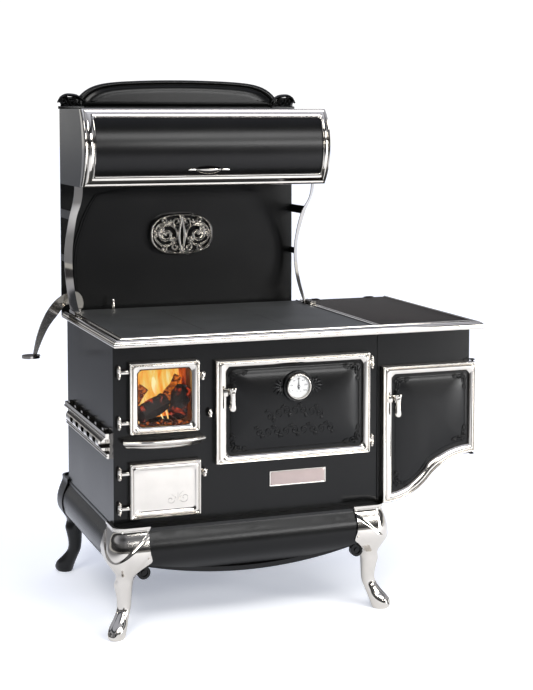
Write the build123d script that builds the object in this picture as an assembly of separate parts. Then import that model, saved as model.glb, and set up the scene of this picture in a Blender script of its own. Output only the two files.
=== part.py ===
from build123d import *
import os
from math import pi, sin, sqrt

# A wood cookstove: cast body on cabriole legs, firebox at the left, oven in the middle, a water
# reservoir box at the right, a flat cooktop, and a warming closet carried by a backguard and two
# S-shaped brackets. Millimetres. While the pieces are made, x = 0 is the body's left face, y = 0
# its front face (+y runs to the back) and z = 0 the floor; the whole stove is then moved so that
# its origin is the bottom centre of its bounding box.

# ---- driving dimensions ----
# body
BODY_WIDTH = 795
BODY_DEPTH = 574
BODY_BOTTOM = 307
BODY_HEIGHT = 505
SHEET = 5                   # thickness of the cast and sheet walls
FIRE_BAY = 279              # left face to the middle of the wall between fire and oven
PLATE_GAP = 1               # slack around a loose plate or a door in its opening
DOOR_BACK = 2               # doors close this far in front of the face behind them
RUNNING = 0.06              # radial clearance of a pin in its bore

# base and legs
BASE_FRONT = 42             # how far the base stands out in front of the body
BASE_SIDE = 2               # and beyond its sides
BASE_BEHIND = 80            # and behind it
BASE_CORNER = 26            # plan radius of the base corners
BASE_PLATE = 8
SKIRT = 5                   # thickness of the skirts
SKIRT_BULGE = 20            # how far the skirts swell past the base
SKIRT_DEPTH = 157           # body's bottom down to the skirts' lowest edge
BELLY_MID_DROP = 139        # body's bottom down to the front skirt's lower edge, in the middle
BELLY_END_DROP = 98         # and beside the legs
TRIM_HEIGHT = 14            # strip along that edge
TRIM_DEPTH = 12
SCROLL_RADIUS = 19
LEG_WALL = 6                # thickness of the leg's wings outside the skirts
LEG_RISE = 6                # the wings stand this far above the body's bottom
WING_FRONT = 100            # length of a leg's wing along the front
WING_SIDE = 98              # and along the side
ANKLE_IN = 29               # where the leg's diagonal meets the front face, in from the side
FOOT_OUT = 42               # how far the foot stands out along that diagonal
FOOT_LENGTH = 48
FOOT_WIDTH = 38
SHANK_RADIUS = 17
SCREW_HEAD = 3.2            # radius of the screw heads on the wings

# doors: overall sizes, and the widths of their left, right, bottom and top members
DOOR_THICK = 20
DOOR_INSET = 42             # left doors, in from the body's left face
FIRE_DOOR_SIZE = (203, 200)
FIRE_DOOR_DROP = 46         # body's top down to the door's top edge
FIRE_FRAME = (27, 23, 20, 23)
ASH_DOOR_WIDTH = 208
ASH_DOOR_DROP = 44                  # hearth lip's underside down to the door's top edge
ASH_DOOR_RISE = 18          # body's bottom up to the door's bottom edge
OVEN_DOOR_HEIGHT = 296
OVEN_DOOR_IN = 29           # door's right edge, in from the body's right face
OVEN_DOOR_DROP = 53
OVEN_DOOR_START = 13        # door's left edge, right of the middle of the fire wall
OVEN_FRAME = (36, 21, 23, 23)
FIRE_LAP = (18, 15, 14, 16)         # how far each door covers the wall round its opening
ASH_LAP = (18, 18, 10, 8)
OVEN_LAP = (18, 16, 17, 14)
SIDE_DOOR_LEFT = 12         # side door's left edge, right of the body's right face
SIDE_DOOR_OVER = 11         # its right edge, past the side box
SIDE_DOOR_DROP = 99
SIDE_FRAME = (34, 18, 27, 28)
GLASS = 4
GLASS_LAP = 6               # glass and panels reach this far behind their frames
CLIP = 2
PANEL = 4
PILLOW_RISE = 11            # how far the oven door panel swells

# hinges and latches
PIN_RADIUS = 3
KNUCKLE_RADIUS = 6.5
KNUCKLE_HEIGHT = 12
LEFT_HINGE = (15, -11)              # x and y of the left hinge line
RIGHT_HINGE_OUT = 8                 # right hinge line, beyond the oven door's edge
RIGHT_HINGE_Y = -15
FIRE_HINGE_IN = (33, 25)            # lower and upper hinge, in from the door's bottom and top edges
ASH_HINGE_IN = (34, 27)
OVEN_HINGE_IN = (35, 30)
LATCH_PIN = 3
LATCH_OUT = 9.5                     # latch centre beyond the door's right edge
FIRE_LATCH_DROP = 45                # latch centre below the door's top edge
ASH_LATCH_DROP = 38
SIDE_PIVOT_IN = 5                   # side door's pins, in from its right edge
SIDE_PIVOT_Y = -10
SIDE_PIVOT_DEPTH = 16
SIDE_PIVOT_PIN = 2.5

# hanging handles, and the knob that holds the oven's
HANDLE_PIN = 4
HANDLE_FRONT = 22                   # handle's front face, before the door's
HANDLE_THICK = 9
HANDLE_LENGTH = 48
OVEN_HANDLE_AT = (44, 91)           # in from the door's left edge, down from its top
SIDE_HANDLE_AT = (40, 96)
CATCH_AT = (14, 56)                 # left of the oven door, below the handle's pin

# thermometer
GAUGE_SHIFT = 9                     # right of the oven door's middle
GAUGE_DROP = 85                     # below its top edge
HOUSING_RADIUS = 45
BEZEL_RADIUS = 37
BEZEL_WALL = 4
HOUSING_DEPTH = 12
BEZEL_DEPTH = 7
GAUGE_PIN = 1.6

# name plate
NAME_SIZE = (174, 45)
NAME_SHIFT = 17                     # right of the oven door's middle
NAME_DROP = 35                      # below the oven door
NAME_PLATE = 3.5

# hearth lip
LIP_OUT = 58
LIP_DROP = 14                       # top of the lip below the fire door
LIP_THICK = 11
LIP_MOULD = 13

# side box
SIDE_BOX_GAP = 2
SIDE_BOX_WIDTH = 301
SIDE_BOX_RISE = 131                 # its right end's bottom, above the body's
TANK_DEPTH = 110
TANK_WALL = 3
TANK_SIDE = 20                      # tank in from the side box's ends
TANK_FRONT = 22                     # and from its front and back
TANK_SLACK = 1

# cooktop
COVER_FRAME = 12                    # height of the frame under the plates
PLATE = 10                          # thickness of the cooktop plates
RAIL_WIDTH = 32
RAIL_BEAD = 3                       # the rail's bead stands above the plates
COOK_BEHIND = 58                    # rear edge of the cooktop, behind the body
FRONT_INNER = -4                    # inner edge of the front rail
LEFT_INNER = 27                     # inner edge of the left rail
SIDE_INNER_OVER = 3.5               # inner edge of the right rail, past the side box
SEAM_A = 290
SEAM_B = 546
REAR_STRIP = 101                    # depth of the fixed rear plate
STRIP_WIDTH = 20                    # nickel strip between plates and lid
STRIP_OUT = 12                      # its left edge, left of the body's right face
POST_IN = 12                        # damper and swing arm, in from the rear edge
DAMPER_AT = 132                     # damper, right of the left rail
DAMPER_ROD = 4
DAMPER_TRAVEL = 25
GATE_HALF = 38
ARM_AT = 20                         # swing arm, right of the left rail
ARM_PIN = 4
ARM_HALF = 3.5
TRAY_RADIUS = 29

# upper works
CLOSET_RISE = 398                   # cooktop up to the closet
GUARD_INSET = 7                     # backguard and closet, in from the body's sides
GUARD_BEHIND = 52                   # backguard, behind the cooktop
GUARD = 6
GUARD_SWELL = 12
CLOSET_HEIGHT = 235
CLOSET_DEPTH = 347
CLOSET_RADIUS = 164
CLOSET_BAND = 8
CLOSET_WALL = 4
LEFT_STILE = 35
RIGHT_STILE = 25
TOP_RAIL = 26
BOTTOM_RAIL = 33
CHEEK_EDGE_IN = 73                  # rear edge of the nickel cheek, behind the closet's front
CHEEK_MID_IN = 36
CLOSET_BARREL = 4.5
CLOSET_PIN = 2.5
PULL_RISE = 53                      # pull's upper edge above the closet's bottom
PULL_HALF = 68
PULL_HEIGHT = 16
PULL_SHIFT = 2.5                    # left of the closet's middle
CREST_IN = 65.5                     # crest's ends, in from the body's sides
CREST_HEIGHT = 94
CREST_SHEET = 8
CREST_SWELL = 10
RIBBON = 5                          # thickness of the S-brackets
RIBBON_WIDTH = 19
VENT_RISE = 231                     # cooktop up to the vent's middle
VENT_SHIFT = 2                      # left of the stove's middle
VENT_HALF_X = 105
VENT_HALF_Z = 67
VENT_DEPTH = 28
VENT_WALL = 9

# fire side
GRATE_DROP = 28                     # top of the grate below the fire door's opening
GRATE_FRAME = 12
GRATE_MARGIN = 24                   # width of the grate frame's side members
GRATE_INSET = 55                    # and of its front member
GRATE_PIN = 3.5
BRICK = 30
BRICK_DROP = 70                     # top of the bricks below the body's top
ASH_FLOOR_RISE = 5                  # ash floor above the ash door's bottom edge

# oven
LINER = 4
LINER_BEHIND = 40                   # liner's back, in from the body's rear face
RACK_RIB = 8
RACK_RISE = 120                     # rack above the oven's floor

# draft register on the left wall
DRAFT_FRONT = 25
DRAFT_BACK = 29
DRAFT_RISE = 188                    # its bottom above the body's
DRAFT_HEIGHT = 70
DRAFT_TRAVEL = 30
SLOT_HALF = 9
SLOT_LENGTH = 36
SLOT_PITCH = 72
SLOTS = 6

# flue
FLUE_INSET = 100                    # smoke box, in from the body's sides
FLUE_BOX_HEIGHT = 252
FLUE_WALL = 4
COLLAR_RISE = 130                   # collar's centre above the smoke box's bottom
COLLAR_RADIUS = 76
COLLAR_WALL = 4
COLLAR_LENGTH = 60
COLLAR_FLANGE = 14

# ---- sizes that follow ----
BODY_TOP = BODY_BOTTOM + BODY_HEIGHT
CENTRE = BODY_WIDTH / 2
BASE_BACK = BODY_DEPTH + BASE_BEHIND
BASE_MID_Y = (BASE_BACK - BASE_FRONT) / 2
SKIRT_LOW = BODY_BOTTOM - SKIRT_DEPTH
BELLY_MID = BODY_BOTTOM - BELLY_MID_DROP
BELLY_END = BODY_BOTTOM - BELLY_END_DROP
PLATE_BOTTOM = BODY_TOP + COVER_FRAME
COOK_TOP = PLATE_BOTTOM + PLATE

DOOR_FRONT = -(DOOR_BACK + DOOR_THICK)
FIRE_DOOR = (DOOR_INSET, DOOR_INSET + FIRE_DOOR_SIZE[0],
             BODY_TOP - FIRE_DOOR_DROP - FIRE_DOOR_SIZE[1], BODY_TOP - FIRE_DOOR_DROP)
LIP_LOW = FIRE_DOOR[2] - LIP_DROP - LIP_THICK - LIP_MOULD
ASH_DOOR = (DOOR_INSET, DOOR_INSET + ASH_DOOR_WIDTH, BODY_BOTTOM + ASH_DOOR_RISE, LIP_LOW - ASH_DOOR_DROP)
OVEN_DOOR = (FIRE_BAY + OVEN_DOOR_START, BODY_WIDTH - OVEN_DOOR_IN,
             BODY_TOP - OVEN_DOOR_DROP - OVEN_DOOR_HEIGHT, BODY_TOP - OVEN_DOOR_DROP)
OVEN_MIDDLE = (OVEN_DOOR[0] + OVEN_DOOR[1]) / 2
FIRE_HINGES = (FIRE_DOOR[2] + FIRE_HINGE_IN[0], FIRE_DOOR[3] - FIRE_HINGE_IN[1])
ASH_HINGES = (ASH_DOOR[2] + ASH_HINGE_IN[0], ASH_DOOR[3] - ASH_HINGE_IN[1])
OVEN_HINGES = (OVEN_DOOR[2] + OVEN_HINGE_IN[0], OVEN_DOOR[3] - OVEN_HINGE_IN[1])
OVEN_HINGE_X = OVEN_DOOR[1] + RIGHT_HINGE_OUT
FIRE_LATCH = (FIRE_DOOR[1] + LATCH_OUT, FIRE_DOOR[3] - FIRE_LATCH_DROP)
ASH_LATCH = (ASH_DOOR[1] + LATCH_OUT, ASH_DOOR[3] - ASH_LATCH_DROP)
OVEN_HANDLE = (OVEN_DOOR[0] + OVEN_HANDLE_AT[0], OVEN_DOOR[3] - OVEN_HANDLE_AT[1])
PANEL_BACK = -DOOR_BACK - CLIP
PILLOW_FRONT = PANEL_BACK - PANEL - PILLOW_RISE
HOUSING_FRONT = PILLOW_FRONT - HOUSING_DEPTH
GAUGE_X = OVEN_MIDDLE + GAUGE_SHIFT
GAUGE_Z = OVEN_DOOR[3] - GAUGE_DROP

SIDE_X0 = BODY_WIDTH + SIDE_BOX_GAP
SIDE_X1 = SIDE_X0 + SIDE_BOX_WIDTH
SIDE_BOX_RIGHT_BOTTOM = BODY_BOTTOM + SIDE_BOX_RISE
SIDE_DOOR_X0 = BODY_WIDTH + SIDE_DOOR_LEFT
SIDE_DOOR_X1 = SIDE_X1 + SIDE_DOOR_OVER
SIDE_DOOR_TOP = BODY_TOP - SIDE_DOOR_DROP
SIDE_HANDLE = (SIDE_DOOR_X0 + SIDE_HANDLE_AT[0], SIDE_DOOR_TOP - SIDE_HANDLE_AT[1])
SIDE_PIVOT = (SIDE_DOOR_X1 - SIDE_PIVOT_IN, SIDE_PIVOT_Y)
SHELF_Z = BODY_TOP - TANK_DEPTH
TANK_PLAN = (SIDE_X0 + TANK_SIDE, SIDE_X1 - TANK_SIDE, TANK_FRONT, BODY_DEPTH - TANK_FRONT)

COOK_BACK = BODY_DEPTH + COOK_BEHIND
REAR_FRONT = COOK_BACK - REAR_STRIP
RIGHT_INNER = SIDE_X1 + SIDE_INNER_OVER
OUTER_LEFT = LEFT_INNER - RAIL_WIDTH
OUTER_RIGHT = RIGHT_INNER + RAIL_WIDTH
OUTER_FRONT = FRONT_INNER - RAIL_WIDTH
STRIP_X0 = BODY_WIDTH - STRIP_OUT
STRIP_X1 = STRIP_X0 + STRIP_WIDTH
LID_X0 = STRIP_X1 + PLATE_GAP
LID_X1 = RIGHT_INNER - PLATE_GAP
LID_HINGE_Y = COOK_BACK + 9
LID_HINGE_Z = COOK_TOP - 4
LID_HINGES = (LID_X0 + 50, LID_X1 - 50)
LIFT_POST = (LEFT_INNER + DAMPER_AT, COOK_BACK - POST_IN)
ARM_POST = (LEFT_INNER + ARM_AT, COOK_BACK - POST_IN)

GUARD_X0 = GUARD_INSET
GUARD_X1 = BODY_WIDTH - GUARD_INSET
GUARD_FRONT = COOK_BACK + GUARD_BEHIND
CLOSET_BOTTOM = COOK_TOP + CLOSET_RISE
CLOSET_TOP = CLOSET_BOTTOM + CLOSET_HEIGHT
CLOSET_MID = (CLOSET_BOTTOM + CLOSET_TOP) / 2
CLOSET_BACK = GUARD_FRONT + GUARD
CLOSET_FRONT = CLOSET_BACK - CLOSET_DEPTH
CLOSET_AXIS_Y = CLOSET_FRONT + CLOSET_RADIUS
CLOSET_INNER = CLOSET_RADIUS - CLOSET_BAND
CLOSET_DOOR_X = (GUARD_X0 + LEFT_STILE + PLATE_GAP, GUARD_X1 - RIGHT_STILE - PLATE_GAP)
CHEEK_EDGE = CLOSET_FRONT + CHEEK_EDGE_IN
CHEEK_MID = CLOSET_FRONT + CHEEK_MID_IN
PULL_X = CENTRE - PULL_SHIFT
PULL_Z = CLOSET_BOTTOM + PULL_RISE
VENT_X = CENTRE - VENT_SHIFT
CREST_HALF = CENTRE - CREST_IN
VENT_Z = COOK_TOP + VENT_RISE

BAY_X0 = SHEET
BAY_X1 = FIRE_BAY - SHEET / 2
BAY_Y1 = BODY_DEPTH - SHEET
GRATE_TOP = FIRE_DOOR[2] + FIRE_LAP[2] - GRATE_DROP
GRATE_X = (BAY_X0 + BAY_X1) / 2
GRATE_HALF = (BAY_X1 - BAY_X0) / 2 - BRICK - GRATE_MARGIN
GRATE_Y0 = SHEET + GRATE_INSET
GRATE_Y1 = BAY_Y1 - BRICK - GRATE_INSET + 16
GRATE_Z = GRATE_TOP - GRATE_FRAME / 2
BRICK_TOP = BODY_TOP - BRICK_DROP
ASH_FLOOR = ASH_DOOR[2] + ASH_FLOOR_RISE
RACK_Z = OVEN_DOOR[2] + OVEN_LAP[2] + RACK_RISE

DRAFT_Y0 = DRAFT_FRONT
DRAFT_Y1 = BODY_DEPTH - DRAFT_BACK
DRAFT_BOTTOM = BODY_BOTTOM + DRAFT_RISE
DRAFT_TOP = DRAFT_BOTTOM + DRAFT_HEIGHT
SHUTTER_Z0 = DRAFT_BOTTOM + 14
SHUTTER_Z1 = DRAFT_TOP - 16
SLOT_Z = (SHUTTER_Z0 + SHUTTER_Z1) / 2
DRAFT_SLOTS = [DRAFT_Y0 + 50 + SLOT_PITCH * i for i in range(SLOTS)]

FLUE_BOTTOM = BODY_TOP - FLUE_BOX_HEIGHT
FLUE_X = (FLUE_INSET, BODY_WIDTH - FLUE_INSET)
COLLAR_Z = FLUE_BOTTOM + COLLAR_RISE


# ---- drawing helpers ----
def block(x0, x1, y0, y1, z0, z1):
    """Rectangular solid between two corners."""
    return Pos(x0, y0, z0) * Box(x1 - x0, y1 - y0, z1 - z0, align=Align.MIN)


def rect(x0, x1, z0, z1, radius=0):
    """Rectangle between two corners, with rounded corners if a radius is given."""
    place = Pos((x0 + x1) / 2, (z0 + z1) / 2)
    if radius:
        return place * RectangleRounded(x1 - x0, z1 - z0, radius)
    return place * Rectangle(x1 - x0, z1 - z0)


def front_slab(face, y_front, y_back, taper=0):
    """Outline drawn in x and z, made solid forward from y_back to y_front."""
    plane = Plane(origin=(0, y_back, 0), x_dir=(1, 0, 0), z_dir=(0, -1, 0))
    return extrude(plane * face, amount=y_back - y_front, taper=taper)


def side_slab(face, x0, x1):
    """Outline drawn in y and z, made solid from x0 to x1."""
    plane = Plane(origin=(x0, 0, 0), x_dir=(0, 1, 0), z_dir=(1, 0, 0))
    return extrude(plane * face, amount=x1 - x0)


def plan_slab(face, z0, z1):
    """Outline drawn in x and y, made solid from z0 to z1."""
    return extrude(Pos(0, 0, z0) * face, amount=z1 - z0)


def rod(start, end, radius):
    """Round bar between two points."""
    run = Vector(*end) - Vector(*start)
    return extrude(Plane(origin=start, z_dir=run) * Circle(radius), amount=run.length)


def poly(*points):
    """Flat outline through the points."""
    return make_face(Polyline(*points, close=True))


def mirror_x(shape, middle=CENTRE):
    """The shape's mirror image across the plane x = middle."""
    return mirror(shape, about=Plane.YZ.offset(middle))


def mirror_y(shape, middle=BASE_MID_Y):
    """The shape's mirror image across the plane y = middle."""
    return mirror(shape, about=Plane(origin=(0, middle, 0), x_dir=(1, 0, 0), z_dir=(0, 1, 0)))


def ogee_face(x0, x1, z_top, z_right, z_left, flat):
    """Side box outline: straight top and sides, with a double curve falling to the left."""
    a, b = Vector(x1 - flat, z_right), Vector(x0 + flat, z_left)
    middle = (a + b) * 0.5
    upper = TangentArc(a, middle, tangent=(-1, 0))
    lower = TangentArc(b, middle, tangent=(1, 0))
    straight = Polyline(b, (x0, z_left), (x0, z_top), (x1, z_top), (x1, z_right), a)
    return make_face([straight, upper, lower])


# ---- base and legs ----
def bombe(grow):
    """The swelling envelope of the base, moved outwards by grow."""
    stations = ((SKIRT_DEPTH, -26), (142, -19), (120, -3), (92, 0.8 * SKIRT_BULGE), (62, SKIRT_BULGE),
                (35, 0.65 * SKIRT_BULGE), (BASE_PLATE, 0), (-LEG_RISE, 0))
    width = BODY_WIDTH + 2 * BASE_SIDE
    depth = BASE_BACK + BASE_FRONT
    rings = []
    for drop, swell in stations:
        out = swell + grow
        corner = BASE_CORNER + out
        ring = RectangleRounded(width + 2 * out, depth + 2 * out, max(corner, 3))
        rings.append(Pos(CENTRE, BASE_MID_Y, BODY_BOTTOM - drop) * ring)
    return loft(rings)


ENVELOPE = bombe(0)
ENVELOPE_INNER = bombe(-SKIRT)
ENVELOPE_OUTER = bombe(LEG_WALL)
SKIRT_SHELL = ENVELOPE - ENVELOPE_INNER
WING_SHELL = ENVELOPE_OUTER - ENVELOPE


def leg_column():
    """Foot, ankle and shank of the front left leg, lofted up into the knee."""
    long, wide, thin = FOOT_LENGTH / 2, FOOT_WIDTH / 2, SHANK_RADIUS
    # share of the leg's height, distance out along the diagonal, half length along it, half width
    stations = ((0, FOOT_OUT, long, wide), (0.04, FOOT_OUT + 1, long + 7, wide + 6),
                (0.10, FOOT_OUT - 6, long + 7, wide + 6), (0.17, FOOT_OUT - 22, long, wide + 2),
                (0.26, 3, thin, thin), (0.385, 4, thin + 5, thin + 5), (0.49, 8, thin + 10, thin + 10),
                (0.60, 12, thin + 17, thin + 17), (0.73, 10, thin + 23, thin + 23),
                (1 - BASE_PLATE / BODY_BOTTOM, 0, thin + 21, thin + 21))
    rings = []
    for share, out, along, across in stations:
        place = Pos(ANKLE_IN - out / sqrt(2), -out / sqrt(2), share * BODY_BOTTOM)
        rings.append(place * Rot(0, 0, 45) * Ellipse(along, across))
    return loft(rings)


def wing_front_face(x0):
    """Outline of the leg's front wing, drawn in x and z."""
    top = BODY_BOTTOM + LEG_RISE
    reach = x0 + WING_FRONT
    low = SKIRT_LOW
    tip = (reach + 6, BODY_BOTTOM - 90)
    edge = Spline((reach, top), (reach - 7, BODY_BOTTOM - 22), (reach - 2, BODY_BOTTOM - 62), tip)
    under = Spline(tip, (x0 + 78, low + 40), (x0 + 58, low + 18), (x0 + 38, low))
    return make_face([edge, under, Polyline((x0 + 38, low), (x0 - 60, low), (x0 - 60, top), (reach, top))])


def wing_side_face(y0):
    """Outline of the leg's side wing, drawn in y and z."""
    top = BODY_BOTTOM + LEG_RISE
    reach = y0 + WING_SIDE
    low = SKIRT_LOW
    tip = (reach + 6, BODY_BOTTOM - 90)
    edge = Spline((reach, top), (reach - 7, BODY_BOTTOM - 22), (reach - 2, BODY_BOTTOM - 62), tip)
    under = Spline(tip, (y0 + 78, low + 40), (y0 + 60, low + 18), (y0 + 42, low))
    return make_face([edge, under, Polyline((y0 + 42, low), (y0 - 60, low), (y0 - 60, top), (reach, top))])


def leg():
    """Front left cabriole leg: column with two wings that lap the base."""
    x0 = -BASE_SIDE - LEG_WALL
    y0 = -BASE_FRONT - LEG_WALL
    far = x0 + WING_FRONT + 60
    front = front_slab(wing_front_face(x0), y0 - 60, 10) & WING_SHELL
    side = side_slab(wing_side_face(y0), x0 - 60, 30) & WING_SHELL
    knee = leg_column() & plan_slab(rect(x0 - 60, far, y0 - 60, far), 0, 0.6 * BODY_BOTTOM)
    corner = rect(x0 - 60, far, y0 - 60, far)
    hip = leg_column() & ENVELOPE & plan_slab(corner, 0.54 * BODY_BOTTOM, BODY_BOTTOM - BASE_PLATE)
    return knee + hip + front + side - base_plate()


def four_legs(screws):
    """Front pair and rear pair; the right ones are cut away under the side box."""
    gap = 0.5
    left = leg()
    right = mirror_x(left) - block(SIDE_X0 - gap, SIDE_X1, -200, BASE_BACK + 200, BODY_BOTTOM - gap, BODY_TOP)
    front = [left - screws, right - screws]
    return front, [mirror_y(left), mirror_y(right)]


def belly_arc(x0, drop=0):
    """Lower edge of the front skirt as an arc between the legs."""
    end, middle = BELLY_END - drop, BELLY_MID - drop
    return ThreePointArc((x0, end), (CENTRE, middle), (BODY_WIDTH - x0, end))


def skirts():
    """Front, rear, left and right skirts between the legs, cut from one swelling shell."""
    end_x = WING_FRONT - BASE_SIDE - LEG_WALL - 20
    end_y = WING_SIDE - BASE_FRONT - LEG_WALL - 12
    high = BODY_BOTTOM - BASE_PLATE
    far_x = BODY_WIDTH - end_x
    arc = belly_arc(end_x)
    belly = make_face([arc, Polyline(arc @ 1, (far_x, high), (end_x, high), arc @ 0)])
    cut = front_slab(belly, -BASE_FRONT - 60, BASE_BACK + 60)
    front = block(end_x, far_x, -BASE_FRONT - 60, 60, 0, high) & SKIRT_SHELL & cut
    left = block(-60, 60, end_y, 2 * BASE_MID_Y - end_y, BELLY_MID + 10, high) & SKIRT_SHELL
    return front, mirror_y(front), left, mirror_x(left)


def skirt_trim():
    """Strip under the front skirt, ending in a scroll behind each front leg."""
    end_x = WING_FRONT - BASE_SIDE - LEG_WALL - 16
    upper, lower = belly_arc(end_x, -2), belly_arc(end_x, TRIM_HEIGHT - 2)
    band = make_face([upper, Line(upper @ 1, lower @ 1), lower, Line(lower @ 0, upper @ 0)])
    y1 = -BASE_FRONT + 23
    y0 = y1 - TRIM_DEPTH
    strip = front_slab(band, y0, y1)
    centre = Pos(end_x, BELLY_END - TRIM_HEIGHT - SCROLL_RADIUS + 4)
    scroll = front_slab(centre * Circle(SCROLL_RADIUS), y0 - 4, y1)
    scroll -= front_slab(centre * Circle(SCROLL_RADIUS - 7), y0 - 5, y0)
    scroll += front_slab(centre * Circle(SCROLL_RADIUS - 13), y0 - 4, y0 + 1)
    return strip + scroll + mirror_x(scroll)


def leg_screws():
    """Round screw heads on the front wings, set into the wings' outer face."""
    heads = []
    face = -BASE_FRONT - LEG_WALL
    for x, drop, y in ((84, 4, face + 0.5), (12, 4, face + 0.5), (84, 81, face - 17)):
        for screw_x in (x, BODY_WIDTH - x):
            heads.append(Pos(screw_x, y, BODY_BOTTOM - drop) * Rot(90, 0, 0) * Cylinder(SCREW_HEAD, 5))
    return heads


# ---- body ----
def front_plate():
    """Front wall with openings for the fire, the ash pit and the oven."""
    plate = block(0, BODY_WIDTH, 0, SHEET, BODY_BOTTOM, BODY_TOP)
    for x0, x1, z0, z1 in (FIRE_OPENING, ASH_OPENING, OVEN_OPENING):
        plate -= block(x0, x1, -1, SHEET + 1, z0, z1)
    return plate


def inset(edges, amounts):
    """Opening inside a door's edges: left, right, bottom and top amounts taken off."""
    return (edges[0] + amounts[0], edges[1] - amounts[1], edges[2] + amounts[2], edges[3] - amounts[3])


FIRE_OPENING = inset(FIRE_DOOR, FIRE_LAP)
ASH_OPENING = inset(ASH_DOOR, ASH_LAP)
OVEN_OPENING = inset(OVEN_DOOR, OVEN_LAP)


def side_wall(x0):
    """Left or right wall of the body."""
    return block(x0, x0 + SHEET, SHEET, BODY_DEPTH, BODY_BOTTOM, BODY_TOP)


def left_wall():
    """Left wall with the air slots behind the draft register."""
    wall = side_wall(0)
    for y in DRAFT_SLOTS:
        wall -= block(-1, SHEET + 1, y, y + SLOT_LENGTH, SLOT_Z - SLOT_HALF, SLOT_Z + SLOT_HALF)
    return wall


def back_panel():
    """Rear wall between the side walls, with the opening into the flue box."""
    panel = block(SHEET, BODY_WIDTH - SHEET, BODY_DEPTH - SHEET, BODY_DEPTH, BODY_BOTTOM, BODY_TOP)
    low, high = FLUE_BOTTOM + 190, BODY_TOP - 12
    window = block(FLUE_X[0] + 20, FLUE_X[1] - 20, 0, BODY_DEPTH + 1, low, high)
    return panel - window


def firebox_wall():
    """Wall between the fire and the oven."""
    x0 = FIRE_BAY - SHEET / 2
    return block(x0, x0 + SHEET, SHEET, BODY_DEPTH - SHEET, BODY_BOTTOM, BODY_TOP)


# ---- fire side ----


def fire_bricks():
    """Brick lining round the fire: two sides and the back, standing on the grate frame."""
    side = block(BAY_X0, BAY_X0 + BRICK, SHEET + 20, BAY_Y1, GRATE_TOP, BRICK_TOP)
    other = block(BAY_X1 - BRICK, BAY_X1, SHEET + 20, BAY_Y1, GRATE_TOP, BRICK_TOP)
    back = block(BAY_X0 + BRICK, BAY_X1 - BRICK, BAY_Y1 - BRICK, BAY_Y1, GRATE_TOP, BRICK_TOP)
    return [side, other, back]


def grate_frame():
    """Iron frame that spans the fire bay and carries the rocking grate on two half bearings."""
    frame = block(BAY_X0, BAY_X1, SHEET, BAY_Y1, GRATE_TOP - GRATE_FRAME, GRATE_TOP)
    frame -= block(GRATE_X - GRATE_HALF, GRATE_X + GRATE_HALF, GRATE_Y0, GRATE_Y1, 0, BODY_TOP)
    bore = GRATE_PIN + RUNNING
    return frame - rod((GRATE_X, GRATE_Y0 - 20, GRATE_Z), (GRATE_X, GRATE_Y1 + 20, GRATE_Z), bore)




def rocking_grate():
    """Slotted grate that turns on a pin at each end."""
    slack, pad = 4, 3
    grate = block(GRATE_X - GRATE_HALF + slack, GRATE_X + GRATE_HALF - slack, GRATE_Y0 + slack,
                  GRATE_Y1 - slack, GRATE_Z - pad, GRATE_Z + pad)
    count = 14
    pitch = (GRATE_Y1 - GRATE_Y0 - 2 * slack) / count
    for i in range(count):
        y = GRATE_Y0 + slack + pitch * (i + 0.5)
        for x0, x1 in ((GRATE_X - GRATE_HALF + 14, GRATE_X - 8), (GRATE_X + 8, GRATE_X + GRATE_HALF - 14)):
            grate -= block(x0, x1, y - 7, y + 7, 0, BODY_TOP)
    pins = rod((GRATE_X, GRATE_Y0 - 18, GRATE_Z), (GRATE_X, GRATE_Y0 + slack + 2, GRATE_Z), GRATE_PIN)
    pins += rod((GRATE_X, GRATE_Y1 - slack - 2, GRATE_Z), (GRATE_X, GRATE_Y1 + 18, GRATE_Z), GRATE_PIN)
    return grate + pins


def ash_floor():
    """Shelf under the grate that the ash pan stands on."""
    return block(BAY_X0, BAY_X1, SHEET, BAY_Y1, ASH_FLOOR - SHEET, ASH_FLOOR)


def ash_pan():
    """Open pan with a folded handle at its front."""
    x0, x1, _, z1 = ASH_OPENING
    slack, wall = 6, 3
    pan = block(x0 + slack, x1 - slack, 20, BAY_Y1 - 40, ASH_FLOOR, z1 - 40)
    pan -= block(x0 + slack + wall, x1 - slack - wall, 20 + wall, BAY_Y1 - 40 - wall, ASH_FLOOR + wall, z1)
    grip = block((x0 + x1) / 2 - 35, (x0 + x1) / 2 + 35, 8, 20, z1 - 62, z1 - 58)
    lip = block((x0 + x1) / 2 - 35, (x0 + x1) / 2 + 35, 8, 11, z1 - 72, z1 - 58)
    return pan + grip + lip


# ---- doors ----
def grown(window, lap):
    """Rectangle that reaches past a window on all sides."""
    return rect(window[0] - lap, window[1] + lap, window[2] - lap, window[3] + lap)


def member_frame(edges, window, groove=8):
    """Nickel door frame: rounded outer bead, a groove, and a bevel down to the window."""
    frame = front_slab(rect(*edges), DOOR_FRONT, -DOOR_BACK)
    rim = frame.faces().sort_by(Axis.Y)[0].edges()
    frame = chamfer(rim, 3.5)
    frame -= front_slab(rect(*window), DOOR_FRONT - 1, 1)
    flare = grown(window, 6)
    plane = Plane(origin=(0, DOOR_FRONT - 1, 0), x_dir=(1, 0, 0), z_dir=(0, -1, 0))
    frame -= front_slab(flare, DOOR_FRONT - 1, DOOR_FRONT + 5) & extrude(plane * flare, amount=-6, taper=42)
    ring = grown(edges, -groove) - grown(edges, -groove - 2)
    return frame - front_slab(ring, DOOR_FRONT - 1, DOOR_FRONT + 1.5)


def knuckle(axis_x, axis_y, z, edge_x):
    """Hinge eye on a door, joined to the door's edge by a lug."""
    half = KNUCKLE_HEIGHT / 2
    eye = rod((axis_x, axis_y, z - half), (axis_x, axis_y, z + half), KNUCKLE_RADIUS)
    x0, x1 = sorted((axis_x, edge_x + (3 if edge_x > axis_x else -3)))
    return eye + block(x0, x1, axis_y - 4, axis_y + 4, z - half, z + half)


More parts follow.
